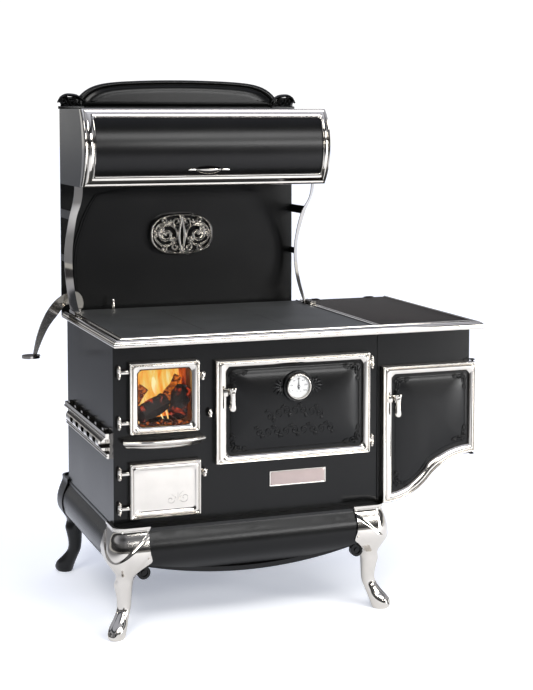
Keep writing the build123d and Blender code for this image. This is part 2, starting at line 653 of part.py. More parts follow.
def knuckle_bore(axis_x, axis_y, z):
    """The hole through a hinge eye."""
    reach = KNUCKLE_HEIGHT
    return rod((axis_x, axis_y, z - reach), (axis_x, axis_y, z + reach), PIN_RADIUS + RUNNING)


def hinge_pin(axis_x, axis_y, z):
    """Pin through a door's eye, on two arms from the front plate, with turned finials."""
    gap = 1
    half = KNUCKLE_HEIGHT / 2 + gap
    arm = 3.5
    reach = half + arm
    pin = rod((axis_x, axis_y, z - reach - 3), (axis_x, axis_y, z + reach + 3), PIN_RADIUS)
    for side in (-1, 1):
        z0, z1 = sorted((z + side * half, z + side * reach))
        pin += block(axis_x - 4.5, axis_x + 4.5, axis_y, 0, z0, z1)
        pin += rod((axis_x, axis_y, z0), (axis_x, axis_y, z1), 4.5)
        pin += Pos(axis_x, axis_y, z + side * (reach + 3.5)) * Sphere(4.6)
        pin += Pos(axis_x, axis_y, z + side * (reach + 9)) * Sphere(2.6)
    return pin


def hang(door, axis_x, axis_y, heights, edge_x):
    """Add hinge eyes to a door and drill them."""
    for z in heights:
        door += knuckle(axis_x, axis_y, z, edge_x)
    for z in heights:
        door -= knuckle_bore(axis_x, axis_y, z)
    return door


def latch_ear(door, x, z):
    """Ear on a door's right edge with the bore for its latch."""
    door += block(x - 14, x + 9, DOOR_FRONT + 8, -DOOR_BACK - 5, z - 9, z + 9)
    return door - rod((x, DOOR_FRONT, z), (x, 0, z), LATCH_PIN + RUNNING)




def latch(x, z):
    """Turning latch: domed knob, spindle and a tongue that lies before the front plate."""
    front = DOOR_FRONT + 8
    knob = rod((x, front - 4, z), (x, front, z), 8.5) + Pos(x, front - 4, z) * Sphere(7)
    tail = Pos(x, front - 1, z - 9) * Rot(90, 0, 0) * Cylinder(4.5, 6)
    spindle = rod((x, front - 1, z), (x, -DOOR_BACK, z), LATCH_PIN)
    tongue = block(x - 4, x + 12, -DOOR_BACK - 3.6, -DOOR_BACK + 0.6, z - 4, z + 4)
    keep = block(x - 30, x + 30, front - 30, front, z - 30, z + 30)
    return ((knob + tail) & keep) + spindle + tongue




def fire_window():
    """Clear opening of the fire door."""
    return inset(FIRE_DOOR, FIRE_FRAME)


def fire_door_frame():
    """Fire door: nickel frame with a rebate for the glass at its back."""
    window = fire_window()
    frame = member_frame(FIRE_DOOR, window)
    frame -= front_slab(grown(window, GLASS_LAP), PANEL_BACK - GLASS, 1)
    frame -= front_slab(grown(window, 2 * GLASS_LAP + 0.5), PANEL_BACK, 1)
    frame = hang(frame, *LEFT_HINGE, FIRE_HINGES, FIRE_DOOR[0])
    return latch_ear(frame, *FIRE_LATCH)


def fire_door_glass():
    """Ceramic glass pane of the fire door."""
    return front_slab(grown(fire_window(), GLASS_LAP - 0.5), PANEL_BACK - GLASS, PANEL_BACK)


def glass_clips():
    """Four flat clips that hold the pane in its rebate."""
    x0, x1, z0, z1 = fire_window()
    mid_x, mid_z = (x0 + x1) / 2, (z0 + z1) / 2
    y0, y1 = PANEL_BACK, -DOOR_BACK
    far = 2 * GLASS_LAP
    return [block(x0 - far, x0 - 1, y0, y1, mid_z - 10, mid_z + 10),
            block(x1 + 1, x1 + far, y0, y1, mid_z - 10, mid_z + 10),
            block(mid_x - 10, mid_x + 10, y0, y1, z0 - far, z0 - 1),
            block(mid_x - 10, mid_x + 10, y0, y1, z1 + 1, z1 + far)]


def ash_door():
    """Ash door: one nickel casting with a bead and a sunk flat panel."""
    x0, x1, z0, z1 = ASH_DOOR
    door = front_slab(rect(x0, x1, z0, z1), DOOR_FRONT, -DOOR_BACK)
    door = chamfer(door.faces().sort_by(Axis.Y)[0].edges(), 3.5)
    recess = rect(x0 + 17, x1 - 11, z0 + 14, z1 - 16, 6)
    door -= front_slab(recess, DOOR_FRONT - 1, DOOR_FRONT + 5)
    door -= block(x0 + 10, x1 - 10, -DOOR_BACK - 8, 1, z0 + 8, z1 - 8)
    door = hang(door, *LEFT_HINGE, ASH_HINGES, x0)
    return latch_ear(door, *ASH_LATCH)


def oven_window():
    """Clear opening of the oven door frame."""
    return inset(OVEN_DOOR, OVEN_FRAME)




def oven_door_frame():
    """Oven door: nickel frame with a rebate for the black panel."""
    window = oven_window()
    frame = member_frame(OVEN_DOOR, window)
    frame -= front_slab(grown(window, GLASS_LAP), PANEL_BACK - PANEL, 1)
    frame += handle_post(*OVEN_HANDLE, OVEN_HANDLE[0] - 22, OVEN_HANDLE[0] + 8)
    return hang(frame, OVEN_HINGE_X, RIGHT_HINGE_Y, OVEN_HINGES, OVEN_DOOR[1])




def oven_door_panel():
    """Black oven door panel with its domed middle."""
    x0, x1, z0, z1 = oven_window()
    panel = front_slab(grown(oven_window(), GLASS_LAP - 0.5), PANEL_BACK - PANEL, PANEL_BACK)
    inner = 9
    pillow = front_slab(rect(x0 + inner, x1 - inner, z0 + inner, z1 - inner, 14),
                        PANEL_BACK - PANEL - PILLOW_RISE, PANEL_BACK - PANEL, taper=48)
    return panel + pillow





def gauge_ring(r_out, r_in, y_front, y_back):
    """Ring or disc round the thermometer's centre."""
    place = Pos(GAUGE_X, GAUGE_Z)
    face = place * Circle(r_out)
    if r_in:
        face -= place * Circle(r_in)
    return front_slab(face, y_front, y_back)




def thermometer_housing():
    """Dark cup of the thermometer, screwed to the panel."""
    cup = gauge_ring(HOUSING_RADIUS, 0, HOUSING_FRONT, PILLOW_FRONT)
    cup = chamfer(cup.faces().sort_by(Axis.Y)[0].edges(), 3)
    return cup - gauge_ring(BEZEL_RADIUS - BEZEL_WALL, 0, HOUSING_FRONT - 1, HOUSING_FRONT + 3)


def thermometer_bezel():
    """Nickel ring that holds the thermometer's glass."""
    ring = gauge_ring(BEZEL_RADIUS, BEZEL_RADIUS - BEZEL_WALL, HOUSING_FRONT - BEZEL_DEPTH, HOUSING_FRONT)
    return chamfer(ring.faces().sort_by(Axis.Y)[0].edges(), 1.2)


def thermometer_dial():
    """White dial with the pointer's pin."""
    dial = gauge_ring(BEZEL_RADIUS - BEZEL_WALL - 0.3, 0, HOUSING_FRONT + 1.5, HOUSING_FRONT + 3)
    pin = rod((GAUGE_X, HOUSING_FRONT + 2, GAUGE_Z), (GAUGE_X, HOUSING_FRONT - 2.5, GAUGE_Z), GAUGE_PIN)
    return dial + pin


def thermometer_glass():
    """Clear disc in the bezel."""
    rim = HOUSING_FRONT - BEZEL_DEPTH
    return gauge_ring(BEZEL_RADIUS - BEZEL_WALL - 0.01, 0, rim + 2, rim + 3.5)


def thermometer_pointer():
    """Pointer that turns on the dial's pin."""
    y0, y1 = HOUSING_FRONT - 1.6, HOUSING_FRONT - 0.4
    long, short, half = 25, 8, 1.4
    blade = front_slab(poly((GAUGE_X - half, GAUGE_Z - short), (GAUGE_X + half, GAUGE_Z - short),
                            (GAUGE_X + 0.5, GAUGE_Z + long), (GAUGE_X - 0.5, GAUGE_Z + long)), y0, y1)
    hub = gauge_ring(4, 0, y0, y1)
    return blade + hub - gauge_ring(GAUGE_PIN + RUNNING, 0, y0 - 1, y1 + 1)


# ---- hanging handles ----


def handle(x, z):
    """Hanging handle: fishtail top over an eye, tapered shaft and a round foot."""
    y0 = DOOR_FRONT - HANDLE_FRONT
    y1 = y0 + HANDLE_THICK
    foot_z = z - HANDLE_LENGTH
    face = Pos(x, z) * Circle(9.5)
    face += poly((x - 4, z), (x + 4, z), (x + 6.5, foot_z), (x - 6.5, foot_z))
    face += Pos(x, foot_z) * Circle(8.5)
    face += poly((x - 4, z), (x - 9, z + 14), (x, z + 10), (x + 9, z + 14), (x + 4, z))
    body = front_slab(face, y0, y1)
    return body - rod((x, y0 - 1, z), (x, y1 + 1, z), HANDLE_PIN + RUNNING)


def handle_post(x, z, plate_x0, plate_x1):
    """Back plate and headed pin that a hanging handle swings on."""
    gap = 0.6
    y0 = DOOR_FRONT - HANDLE_FRONT
    plate = block(plate_x0, plate_x1, DOOR_FRONT - 4, DOOR_FRONT, z - 12, z + 12)
    pin = rod((x, DOOR_FRONT - 3, z), (x, y0 - gap - 1, z), HANDLE_PIN)
    collar = rod((x, DOOR_FRONT - 4, z), (x, y0 + HANDLE_THICK + gap, z), 7)
    head = rod((x, y0 - gap, z), (x, y0 - gap - 3, z), 6)
    return plate + pin + collar + head


# ---- side reservoir ----
def side_outline():
    """Outline of the side box, drawn in x and z."""
    return ogee_face(SIDE_X0, SIDE_X1, BODY_TOP, SIDE_BOX_RIGHT_BOTTOM, BODY_BOTTOM, 8)




def side_casing():
    """Side box: wrapped sheet with a front opening for the door and a top opening for the tank."""
    outer = side_outline()
    box = front_slab(outer, 0, BODY_DEPTH)
    box -= front_slab(offset(outer, amount=-SHEET), SHEET, BODY_DEPTH - SHEET)
    door_hole = ogee_face(SIDE_DOOR_X0 + 18, SIDE_X1 - 16, SHELF_Z - 10, SIDE_BOX_RIGHT_BOTTOM + 16,
                          BODY_BOTTOM + 22, 6)
    box -= front_slab(door_hole, -1, SHEET + 1)
    box -= block(*TANK_PLAN, BODY_TOP - 2 * SHEET, BODY_TOP + 1)
    shelf = block(SIDE_X0 + SHEET, SIDE_X1 - SHEET, SHEET, BODY_DEPTH - SHEET, SHELF_Z - SHEET, SHELF_Z)
    for ear in side_door_pivots():
        box += ear
    return box + shelf




def reservoir_tank():
    """Open water tank standing on the side box's shelf."""
    x0, x1, y0, y1 = TANK_PLAN
    outer, inner = TANK_SLACK, TANK_SLACK + TANK_WALL
    tank = block(x0 + outer, x1 - outer, y0 + outer, y1 - outer, SHELF_Z, BODY_TOP)
    return tank - block(x0 + inner, x1 - inner, y0 + inner, y1 - inner, SHELF_Z + TANK_WALL, BODY_TOP + 1)


def side_door_face(left, right, bottom, top, drop=0):
    """Outline of the side door, taken in by the given amounts."""
    return ogee_face(SIDE_DOOR_X0 + left, SIDE_DOOR_X1 - right, SIDE_DOOR_TOP - top,
                     SIDE_BOX_RIGHT_BOTTOM + bottom, BODY_BOTTOM + bottom + drop, 6)




def side_door_frame():
    """Storage door: nickel frame that follows the side box's curve."""
    window = side_door_face(*SIDE_FRAME)
    frame = front_slab(side_door_face(0, 0, 0, 0), DOOR_FRONT, -DOOR_BACK)
    frame = chamfer(frame.faces().sort_by(Axis.Y)[0].edges(), 3)
    frame -= front_slab(window, DOOR_FRONT - 1, 1)
    frame -= front_slab(offset(window, amount=GLASS_LAP), PANEL_BACK - PANEL, 1)
    x, y = SIDE_PIVOT
    for z0, z1 in ((SIDE_DOOR_TOP - SIDE_PIVOT_DEPTH, SIDE_DOOR_TOP + 1),
                   (SIDE_BOX_RIGHT_BOTTOM - 1, SIDE_BOX_RIGHT_BOTTOM + SIDE_PIVOT_DEPTH)):
        frame -= rod((x, y, z0), (x, y, z1), SIDE_PIVOT_PIN + RUNNING)
    return frame + handle_post(*SIDE_HANDLE, SIDE_HANDLE[0] - 26, SIDE_HANDLE[0] + 8)


def side_door_panel():
    """Black panel of the storage door, with a raised field."""
    window = side_door_face(*SIDE_FRAME)
    panel = front_slab(offset(window, amount=GLASS_LAP - 0.5), PANEL_BACK - PANEL, PANEL_BACK)
    field = offset(window, amount=-10)
    return panel + front_slab(field, PANEL_BACK - PANEL - 6, PANEL_BACK - PANEL, taper=45)


def side_door_pivots():
    """Two ears on the side box with the pins that the storage door turns on."""
    x, y = SIDE_PIVOT
    ears = []
    for z, side in ((SIDE_DOOR_TOP, 1), (SIDE_BOX_RIGHT_BOTTOM, -1)):
        z0, z1 = sorted((z + side * 3, z + side * 7))
        ear = block(x - 6, x + 5, y - 5, 0, z0, z1) + block(SIDE_X1 - 18, x, -3, 0, z0, z1)
        z4, z5 = sorted((z + side * 7, z - side * 12))
        ear += block(SIDE_X1 - 18, SIDE_X1 - 1, -DOOR_BACK + 0.4, 0, z4, z5)
        z2, z3 = sorted((z + side * 5, z - side * (SIDE_PIVOT_DEPTH - 2)))
        ears.append(ear + rod((x, y, z2), (x, y, z3), SIDE_PIVOT_PIN))
    return ears


# ---- cooktop ----


def top_frame():
    """Iron frame on top of the body and the side box, open over the fire, oven top and tank."""
    frame = block(LEFT_INNER, RIGHT_INNER, FRONT_INNER, COOK_BACK, BODY_TOP, PLATE_BOTTOM)
    ledge = 18
    for x0, x1 in ((LEFT_INNER, SEAM_A), (SEAM_A, SEAM_B), (SEAM_B, STRIP_X0)):
        frame -= block(x0 + ledge, x1 - ledge, SHEET + ledge, REAR_FRONT - ledge, 0, COOK_TOP)
    frame -= block(TANK_PLAN[0] + 8, TANK_PLAN[1] - 8, TANK_PLAN[2] + 8, TANK_PLAN[3] - 8, 0, COOK_TOP)
    frame -= rod((*LIFT_POST, 0), (*LIFT_POST, COOK_TOP + 1), DAMPER_ROD + RUNNING)
    for hinge in lid_hinges():
        frame += hinge
    return frame + rear_shelf()




def cook_plate(x0, x1):
    """One loose cooktop plate between two seams."""
    half = PLATE_GAP / 2
    return block(x0 + half, x1 - half, FRONT_INNER + half, REAR_FRONT - half, PLATE_BOTTOM, COOK_TOP)


def rear_plate():
    """Fixed plate behind the loose ones, with the damper's and the swing arm's bores."""
    half = PLATE_GAP / 2
    plate = block(LEFT_INNER, STRIP_X0, REAR_FRONT + half, COOK_BACK, PLATE_BOTTOM, COOK_TOP)
    plate -= rod((*LIFT_POST, 0), (*LIFT_POST, COOK_TOP + 1), DAMPER_ROD + RUNNING)
    return plate - rod((*ARM_POST, PLATE_BOTTOM + 1), (*ARM_POST, COOK_TOP + 1), ARM_PIN + RUNNING)


def cooktop_strip():
    """Nickel strip with a bead along each edge, between the plates and the lid."""
    strip = block(STRIP_X0, STRIP_X1, FRONT_INNER, COOK_BACK, PLATE_BOTTOM, COOK_TOP)
    radius = 3
    for x in (STRIP_X0 + radius, STRIP_X1 - radius):
        strip += rod((x, FRONT_INNER, COOK_TOP), (x, COOK_BACK, COOK_TOP), radius)
    return strip


def rail_face():
    """Rail section: distance out from the cooktop, and height."""
    top = COOK_TOP + RAIL_BEAD
    arc = ThreePointArc((10, COOK_TOP), (RAIL_WIDTH - 8, COOK_TOP - 5), (RAIL_WIDTH, BODY_TOP + 4))
    line = Polyline((RAIL_WIDTH, BODY_TOP + 4), (RAIL_WIDTH, BODY_TOP), (0, BODY_TOP), (0, top - 1),
                    (1, top), (6, top), (7.5, COOK_TOP - 1.5), (10, COOK_TOP))
    return make_face([arc, line])




def front_rail():
    """Nickel rail along the front, mitred at both ends."""
    plane = Plane(origin=(OUTER_LEFT, FRONT_INNER, 0), x_dir=(0, -1, 0), z_dir=(1, 0, 0))
    face = rail_face()
    if plane.y_dir.Z < 0:
        face = mirror(face, about=Plane.XZ)
    bar = extrude(plane * face, amount=OUTER_RIGHT - OUTER_LEFT)
    plan = poly((OUTER_LEFT, OUTER_FRONT), (OUTER_RIGHT, OUTER_FRONT), (RIGHT_INNER, FRONT_INNER),
                (LEFT_INNER, FRONT_INNER))
    return bar & plan_slab(plan, 0, COOK_TOP + 50)


def left_rail():
    """Nickel rail along the left side, mitred at the front."""
    plane = Plane(origin=(LEFT_INNER, COOK_BACK, 0), x_dir=(-1, 0, 0), z_dir=(0, -1, 0))
    face = rail_face()
    if plane.y_dir.Z < 0:
        face = mirror(face, about=Plane.XZ)
    bar = extrude(plane * face, amount=COOK_BACK - OUTER_FRONT)
    plan = poly((OUTER_LEFT, OUTER_FRONT), (LEFT_INNER, FRONT_INNER), (LEFT_INNER, COOK_BACK),
                (OUTER_LEFT, COOK_BACK))
    return bar & plan_slab(plan, 0, COOK_TOP + 50)


def right_rail():
    """Nickel rail along the right side, mitred at the front."""
    return mirror_x(left_rail(), (LEFT_INNER + RIGHT_INNER) / 2)




def reservoir_lid():
    """Lift-up lid over the tank, with two hinge eyes behind it."""
    lid = block(LID_X0, LID_X1, FRONT_INNER + PLATE_GAP, COOK_BACK - PLATE_GAP, PLATE_BOTTOM, COOK_TOP)
    half = 10
    for x in LID_HINGES:
        lid += block(x - half, x + half, COOK_BACK - 3, LID_HINGE_Y, LID_HINGE_Z - 4, LID_HINGE_Z + 4)
        lid += rod((x - half, LID_HINGE_Y, LID_HINGE_Z), (x + half, LID_HINGE_Y, LID_HINGE_Z), KNUCKLE_RADIUS)
        lid -= rod((x - half - 1, LID_HINGE_Y, LID_HINGE_Z), (x + half + 1, LID_HINGE_Y, LID_HINGE_Z),
                   PIN_RADIUS + RUNNING)
    return lid


def lid_hinges():
    """Two pins, each on a pair of ears behind the top frame."""
    pins = []
    for x in LID_HINGES:
        pin = rod((x - 16, LID_HINGE_Y, LID_HINGE_Z), (x + 16, LID_HINGE_Y, LID_HINGE_Z), PIN_RADIUS)
        for x0 in (x - 16, x + 11):
            pin += block(x0, x0 + 5, COOK_BACK + 3, LID_HINGE_Y + 6, BODY_TOP, LID_HINGE_Z + 5)
        pin += block(x - 16, x + 16, COOK_BACK, COOK_BACK + 5, BODY_TOP, PLATE_BOTTOM - 2)
        pins.append(pin)
    return pins


# ---- flue ----


def flue_box():
    """Closed smoke box behind the body, open to it at the front and to the collar at the back."""
    x0, x1 = FLUE_X
    wall = FLUE_WALL
    box = block(x0, x1, BODY_DEPTH, GUARD_FRONT, FLUE_BOTTOM, BODY_TOP)
    low, high = FLUE_BOTTOM + wall, BODY_TOP - wall
    box -= block(x0 + wall, x1 - wall, BODY_DEPTH - 1, GUARD_FRONT - wall, low, high)
    bore = COLLAR_RADIUS - COLLAR_WALL
    box -= rod((CENTRE, GUARD_FRONT - 20, COLLAR_Z), (CENTRE, GUARD_FRONT + 1, COLLAR_Z), bore)
    return box - rod((*LIFT_POST, 0), (*LIFT_POST, COOK_TOP + 1), DAMPER_ROD + RUNNING)




def flue_collar():
    """Round collar for the stovepipe, bolted to the back of the smoke box by its flange."""
    back = GUARD_FRONT + COLLAR_LENGTH
    collar = rod((CENTRE, GUARD_FRONT, COLLAR_Z), (CENTRE, back, COLLAR_Z), COLLAR_RADIUS)
    flange = COLLAR_RADIUS + COLLAR_FLANGE
    collar += rod((CENTRE, GUARD_FRONT, COLLAR_Z), (CENTRE, GUARD_FRONT + SHEET, COLLAR_Z), flange)
    return collar - rod((CENTRE, 0, COLLAR_Z), (CENTRE, back + 1, COLLAR_Z), COLLAR_RADIUS - COLLAR_WALL)




def damper():
    """Damper: nickel post on top, rod down through the cooktop and a gate in the smoke box."""
    x, y = LIFT_POST
    post = rod((x, y, COOK_TOP), (x, y, COOK_TOP + 26), 6.5) + Pos(x, y, COOK_TOP + 26) * Sphere(7)
    stem = rod((x, y, BODY_TOP - 90), (x, y, COOK_TOP + 1), DAMPER_ROD)
    gate = block(x - GATE_HALF, x + GATE_HALF, y - 6, y + 6, BODY_TOP - 150, BODY_TOP - 85)
    return post + stem + gate


def rear_shelf():
    """Black shelf behind the cooktop that the backguard stands on."""
    shelf = block(GUARD_X0, GUARD_X1, COOK_BACK, GUARD_FRONT + GUARD, BODY_TOP, PLATE_BOTTOM)
    return shelf


# ---- upper works ----
def guard_field(step):
    """Outline of the backguard's raised field: a barrel that narrows to the top."""
    drawn = ((65, 0.01), (38, 0.31), (62, 0.635), (84, 0.775), (118, 0.91))
    rise = CLOSET_BOTTOM - PLATE_BOTTOM
    points = [(x + step, PLATE_BOTTOM + share * rise) for x, share in drawn]
    right = [(BODY_WIDTH - x, z) for x, z in points]
    crown = CLOSET_BOTTOM - 8 - step
    sides = [ThreePointArc(*points[:3]), ThreePointArc(*points[2:]),
             ThreePointArc(*right[:3]), ThreePointArc(*right[2:])]
    top = ThreePointArc(points[-1], (CENTRE, crown), right[-1])
    return make_face([*sides, top, Line(points[0], right[0])])


def backguard():
    """Tall back sheet with its embossed field."""
    guard = block(GUARD_X0, GUARD_X1, GUARD_FRONT, GUARD_FRONT + GUARD, PLATE_BOTTOM, CLOSET_BOTTOM)
    steps = 3
    for i in range(1, steps + 1):
        rise = GUARD_SWELL * sin(i / steps * pi / 2)
        guard += front_slab(guard_field(7 * (i - 1)), GUARD_FRONT - rise, GUARD_FRONT)
    return guard




def oval(half_x, half_z):
    """Superellipse-like oval of the vent, drawn as four tangent arcs."""
    return RectangleRounded(2 * half_x, 2 * half_z, half_z * 0.98)


def vent_ring():
    """Nickel oval ring that stands off the backguard."""
    back = GUARD_FRONT - GUARD_SWELL
    place = Pos(VENT_X, VENT_Z)
    face = place * oval(VENT_HALF_X, VENT_HALF_Z)
    face -= place * oval(VENT_HALF_X - VENT_WALL, VENT_HALF_Z - VENT_WALL)
    return front_slab(face, back - VENT_DEPTH, back)


def ring_face(x, z, radius, stroke):
    """Flat ring."""
    return Pos(x, z) * Circle(radius) - Pos(x, z) * Circle(radius - stroke)


def vent_grille():
    """Scrollwork in the vent: paired round scrolls on a middle stem."""
    back = GUARD_FRONT - GUARD_SWELL
    stroke = 7
    reach = VENT_HALF_Z - VENT_WALL + 1
    face = rect(VENT_X - 4, VENT_X + 4, VENT_Z - reach, VENT_Z + reach)
    for side in (-1, 1):
        face += ring_face(VENT_X + side * 47, VENT_Z - 4, 34, stroke)
        face += ring_face(VENT_X + side * 43, VENT_Z - 4, 17, stroke)
        face += rect(VENT_X + side * 43 - 3, VENT_X + side * 43 + 3, VENT_Z + 8, VENT_Z + 26)
        face += ring_face(VENT_X + side * 17, VENT_Z + 34, 17, stroke)
        face += ring_face(VENT_X + side * 17, VENT_Z - 40, 16, stroke)
        face += ring_face(VENT_X + side * 60, VENT_Z + 38, 13, stroke)
        face += ring_face(VENT_X + side * 60, VENT_Z - 44, 11, stroke)
        near, far = sorted((side * 78, side * 100))
        face += rect(VENT_X + near, VENT_X + far, VENT_Z - 8, VENT_Z)
    inner = Pos(VENT_X, VENT_Z) * oval(VENT_HALF_X - VENT_WALL, VENT_HALF_Z - VENT_WALL)
    return front_slab(face & inner, back - VENT_DEPTH + 4, back - VENT_DEPTH + 10)


def arc_y(z, radius):
    """Depth of the closet's curved front at a height."""
    return CLOSET_AXIS_Y - sqrt(radius ** 2 - (z - CLOSET_MID) ** 2)


def arc_band(z0, z1, r_out, r_in):
    """Curved strip of the closet front between two heights, drawn in y and z."""
    mid = (z0 + z1) / 2
    outer = ThreePointArc((arc_y(z0, r_out), z0), (arc_y(mid, r_out), mid), (arc_y(z1, r_out), z1))
    inner = ThreePointArc((arc_y(z1, r_in), z1), (arc_y(mid, r_in), mid), (arc_y(z0, r_in), z0))
    return make_face([outer, Line(outer @ 1, inner @ 0), inner, Line(inner @ 1, outer @ 0)])




def cheek_face():
    """Nickel cheek on the closet's end: between the curved front and a flatter curve."""
    start = (arc_y(CLOSET_BOTTOM, CLOSET_INNER), CLOSET_BOTTOM)
    end = (arc_y(CLOSET_TOP, CLOSET_INNER), CLOSET_TOP)
    outer = ThreePointArc(start, (CLOSET_FRONT + CLOSET_BAND, CLOSET_MID), end)
    inner = ThreePointArc((CHEEK_EDGE, CLOSET_TOP), (CHEEK_MID, CLOSET_MID), (CHEEK_EDGE, CLOSET_BOTTOM))
    return make_face([outer, Line(outer @ 1, inner @ 0), inner, Line(inner @ 1, outer @ 0)])


def front_band():
    """Curved band that the closet's nickel front is cut from."""
    face = arc_band(CLOSET_BOTTOM, CLOSET_TOP, CLOSET_RADIUS, CLOSET_INNER)
    return side_slab(face, GUARD_X0, GUARD_X1)


def closet_frame():
    """Nickel front of the warming closet: stiles, rails and end cheeks."""
    band = front_band()
    low, high = CLOSET_BOTTOM + BOTTOM_RAIL, CLOSET_TOP - TOP_RAIL
    band -= block(GUARD_X0 + LEFT_STILE, GUARD_X1 - RIGHT_STILE, 0, CLOSET_AXIS_Y, low, high)
    radius = 3.5
    for z in (CLOSET_TOP - 5, CLOSET_TOP - TOP_RAIL + 5):
        y = arc_y(z, CLOSET_RADIUS)
        band += rod((GUARD_X0, y, z), (GUARD_X1, y, z), radius)
    for x0 in (GUARD_X0, GUARD_X1 - CLOSET_WALL):
        band += side_slab(cheek_face(), x0, x0 + CLOSET_WALL)
    for pin in closet_pins():
        band += pin
    return band


def closet_case():
    """Black shell of the warming closet: ends, top, bottom and back."""
    edge = ThreePointArc((CHEEK_EDGE, CLOSET_BOTTOM), (CHEEK_MID, CLOSET_MID), (CHEEK_EDGE, CLOSET_TOP))
    end = make_face([edge, Polyline((CHEEK_EDGE, CLOSET_TOP), (CLOSET_BACK, CLOSET_TOP),
                                    (CLOSET_BACK, CLOSET_BOTTOM), (CHEEK_EDGE, CLOSET_BOTTOM))])
    wall = CLOSET_WALL
    case = side_slab(end, GUARD_X0, GUARD_X0 + wall) + side_slab(end, GUARD_X1 - wall, GUARD_X1)
    front = arc_y(CLOSET_BOTTOM, CLOSET_INNER)
    for z0 in (CLOSET_BOTTOM, CLOSET_TOP - wall):
        case += block(GUARD_X0 + wall, GUARD_X1 - wall, front, CLOSET_BACK, z0, z0 + wall)
    case += block(GUARD_X0, GUARD_X1, CLOSET_BACK - wall, CLOSET_BACK, CLOSET_BOTTOM, CLOSET_TOP)
    return case


CLOSET_HINGE_Z = CLOSET_TOP - TOP_RAIL - 7
CLOSET_HINGE_Y = arc_y(CLOSET_HINGE_Z, CLOSET_RADIUS) + 9


def closet_rod(x0, x1, radius):
    """Round bar along the closet door's hinge line."""
    return rod((x0, CLOSET_HINGE_Y, CLOSET_HINGE_Z), (x1, CLOSET_HINGE_Y, CLOSET_HINGE_Z), radius)


def closet_door():
    """Curved black door that lifts on a barrel along its top edge."""
    z0 = CLOSET_BOTTOM + BOTTOM_RAIL + PLATE_GAP
    z1 = CLOSET_TOP - TOP_RAIL - 2 * PLATE_GAP
    door = side_slab(arc_band(z0, z1, CLOSET_RADIUS - 3, CLOSET_RADIUS - 8), *CLOSET_DOOR_X)
    door += closet_rod(*CLOSET_DOOR_X, CLOSET_BARREL)
    depth = 18
    for x, side in ((CLOSET_DOOR_X[0], 1), (CLOSET_DOOR_X[1], -1)):
        door -= closet_rod(x - side, x + side * depth, CLOSET_PIN + RUNNING)
    return door




def closet_pins():
    """Pins in the closet's stiles that carry the door."""
    pins = []
    for x, side in ((CLOSET_DOOR_X[0], 1), (CLOSET_DOOR_X[1], -1)):
        x0, x1 = sorted((x - side * 6, x - side * 1.5))
        y0, y1 = arc_y(CLOSET_HINGE_Z, CLOSET_INNER), CLOSET_HINGE_Y + 6
        ear = block(x0, x1, y0, y1, CLOSET_HINGE_Z - 6, CLOSET_HINGE_Z + 6) - front_band()
        pins.append(ear + closet_rod(x - side * 6, x + side * 16, CLOSET_PIN))
    return pins




def closet_pull():
    """Cup pull: a half oval shell, open at the top."""
    y_face = arc_y(PULL_Z - 14, CLOSET_RADIUS - 3)
    place = Pos(PULL_X, PULL_Z)
    low = rect(0, BODY_WIDTH, PULL_Z - 40, PULL_Z)
    cup = front_slab(place * Ellipse(PULL_HALF, PULL_HEIGHT) & low, y_face - 20, y_face + 30)
    cup -= front_slab(place * Ellipse(PULL_HALF - 3, PULL_HEIGHT - 3) & low, y_face - 16, y_face + 31)
    return cup - side_slab(arc_band(PULL_Z - 20, PULL_Z + 2, CLOSET_RADIUS - 3, 120), GUARD_X0, GUARD_X1)


def crest_face():
    """Arched outline of the crest, drawn in x and z."""
    def at(side, x, rise):
        return (CENTRE + side * x, CLOSET_TOP + rise)
    shoulder, fall = CREST_HALF - 112, CREST_HALF - 47
    high, low, end = CREST_HEIGHT - 12, CREST_HEIGHT - 24, CREST_HEIGHT - 58
    edges = [ThreePointArc(at(-1, shoulder, high), at(1, 0, CREST_HEIGHT), at(1, shoulder, high))]
    for side in (-1, 1):
        edges.append(ThreePointArc(at(side, shoulder, high), at(side, fall, low), at(side, CREST_HALF, end)))
    edges.append(Polyline(at(-1, CREST_HALF, end), at(-1, CREST_HALF, 0), at(1, CREST_HALF, 0),
                          at(1, CREST_HALF, end)))
    return make_face(edges)


def crest():
    """Arched crest with a swelling front, standing on the closet."""
    back = CLOSET_BACK
    shape = front_slab(crest_face(), back - CREST_SHEET, back)
    steps = 4
    for i in range(1, steps + 1):
        field = offset(crest_face(), amount=-6 - 5 * i)
        rise = CREST_SWELL * sin(i / steps * pi / 2)
        shape += front_slab(field, back - CREST_SHEET - rise, back - CREST_SHEET)
    return shape


def crest_scrolls():
    """Cast scrolls at both ends of the crest."""
    y0, y1 = CLOSET_BACK - 22, CLOSET_BACK
    x0 = -2
    face = Pos(x0 + 17, CLOSET_TOP + 32) * Circle(17) + Pos(x0 + 50, CLOSET_TOP + 22) * Circle(15)
    face += Pos(x0 + 70, CLOSET_TOP + 14) * Circle(12) + rect(x0 + 9, x0 + 82, CLOSET_TOP, CLOSET_TOP + 18)
    for x, z, r in ((17, 32, 8), (50, 24, 7)):
        face -= Pos(x0 + x, CLOSET_TOP + z) * Circle(r)
        face += Pos(x0 + x, CLOSET_TOP + z) * Circle(r - 3.5)
        face += rect(x0 + x - 1.5, x0 + x + 1.5, CLOSET_TOP + z - r, CLOSET_TOP + z)
    left = front_slab(face, y0, y1) - front_slab(crest_face(), y0 - 1, y1 + 1)
    return [left, mirror_x(left)]


# How far the S-brackets stand before the backguard at shares of the height from cooktop to closet.
OUTER_EDGE = ((204, 1), (185, 0.895), (131, 0.77), (90, 0.643), (52, 0.467), (64, 0.254), (88, 0.148),
              (133, 0.02))
INNER_EDGE = ((228, 1), (211, 0.89), (150, 0.774), (108, 0.643), (76, 0.447), (86, 0.261), (118, 0.133),
              (172, 0.01))


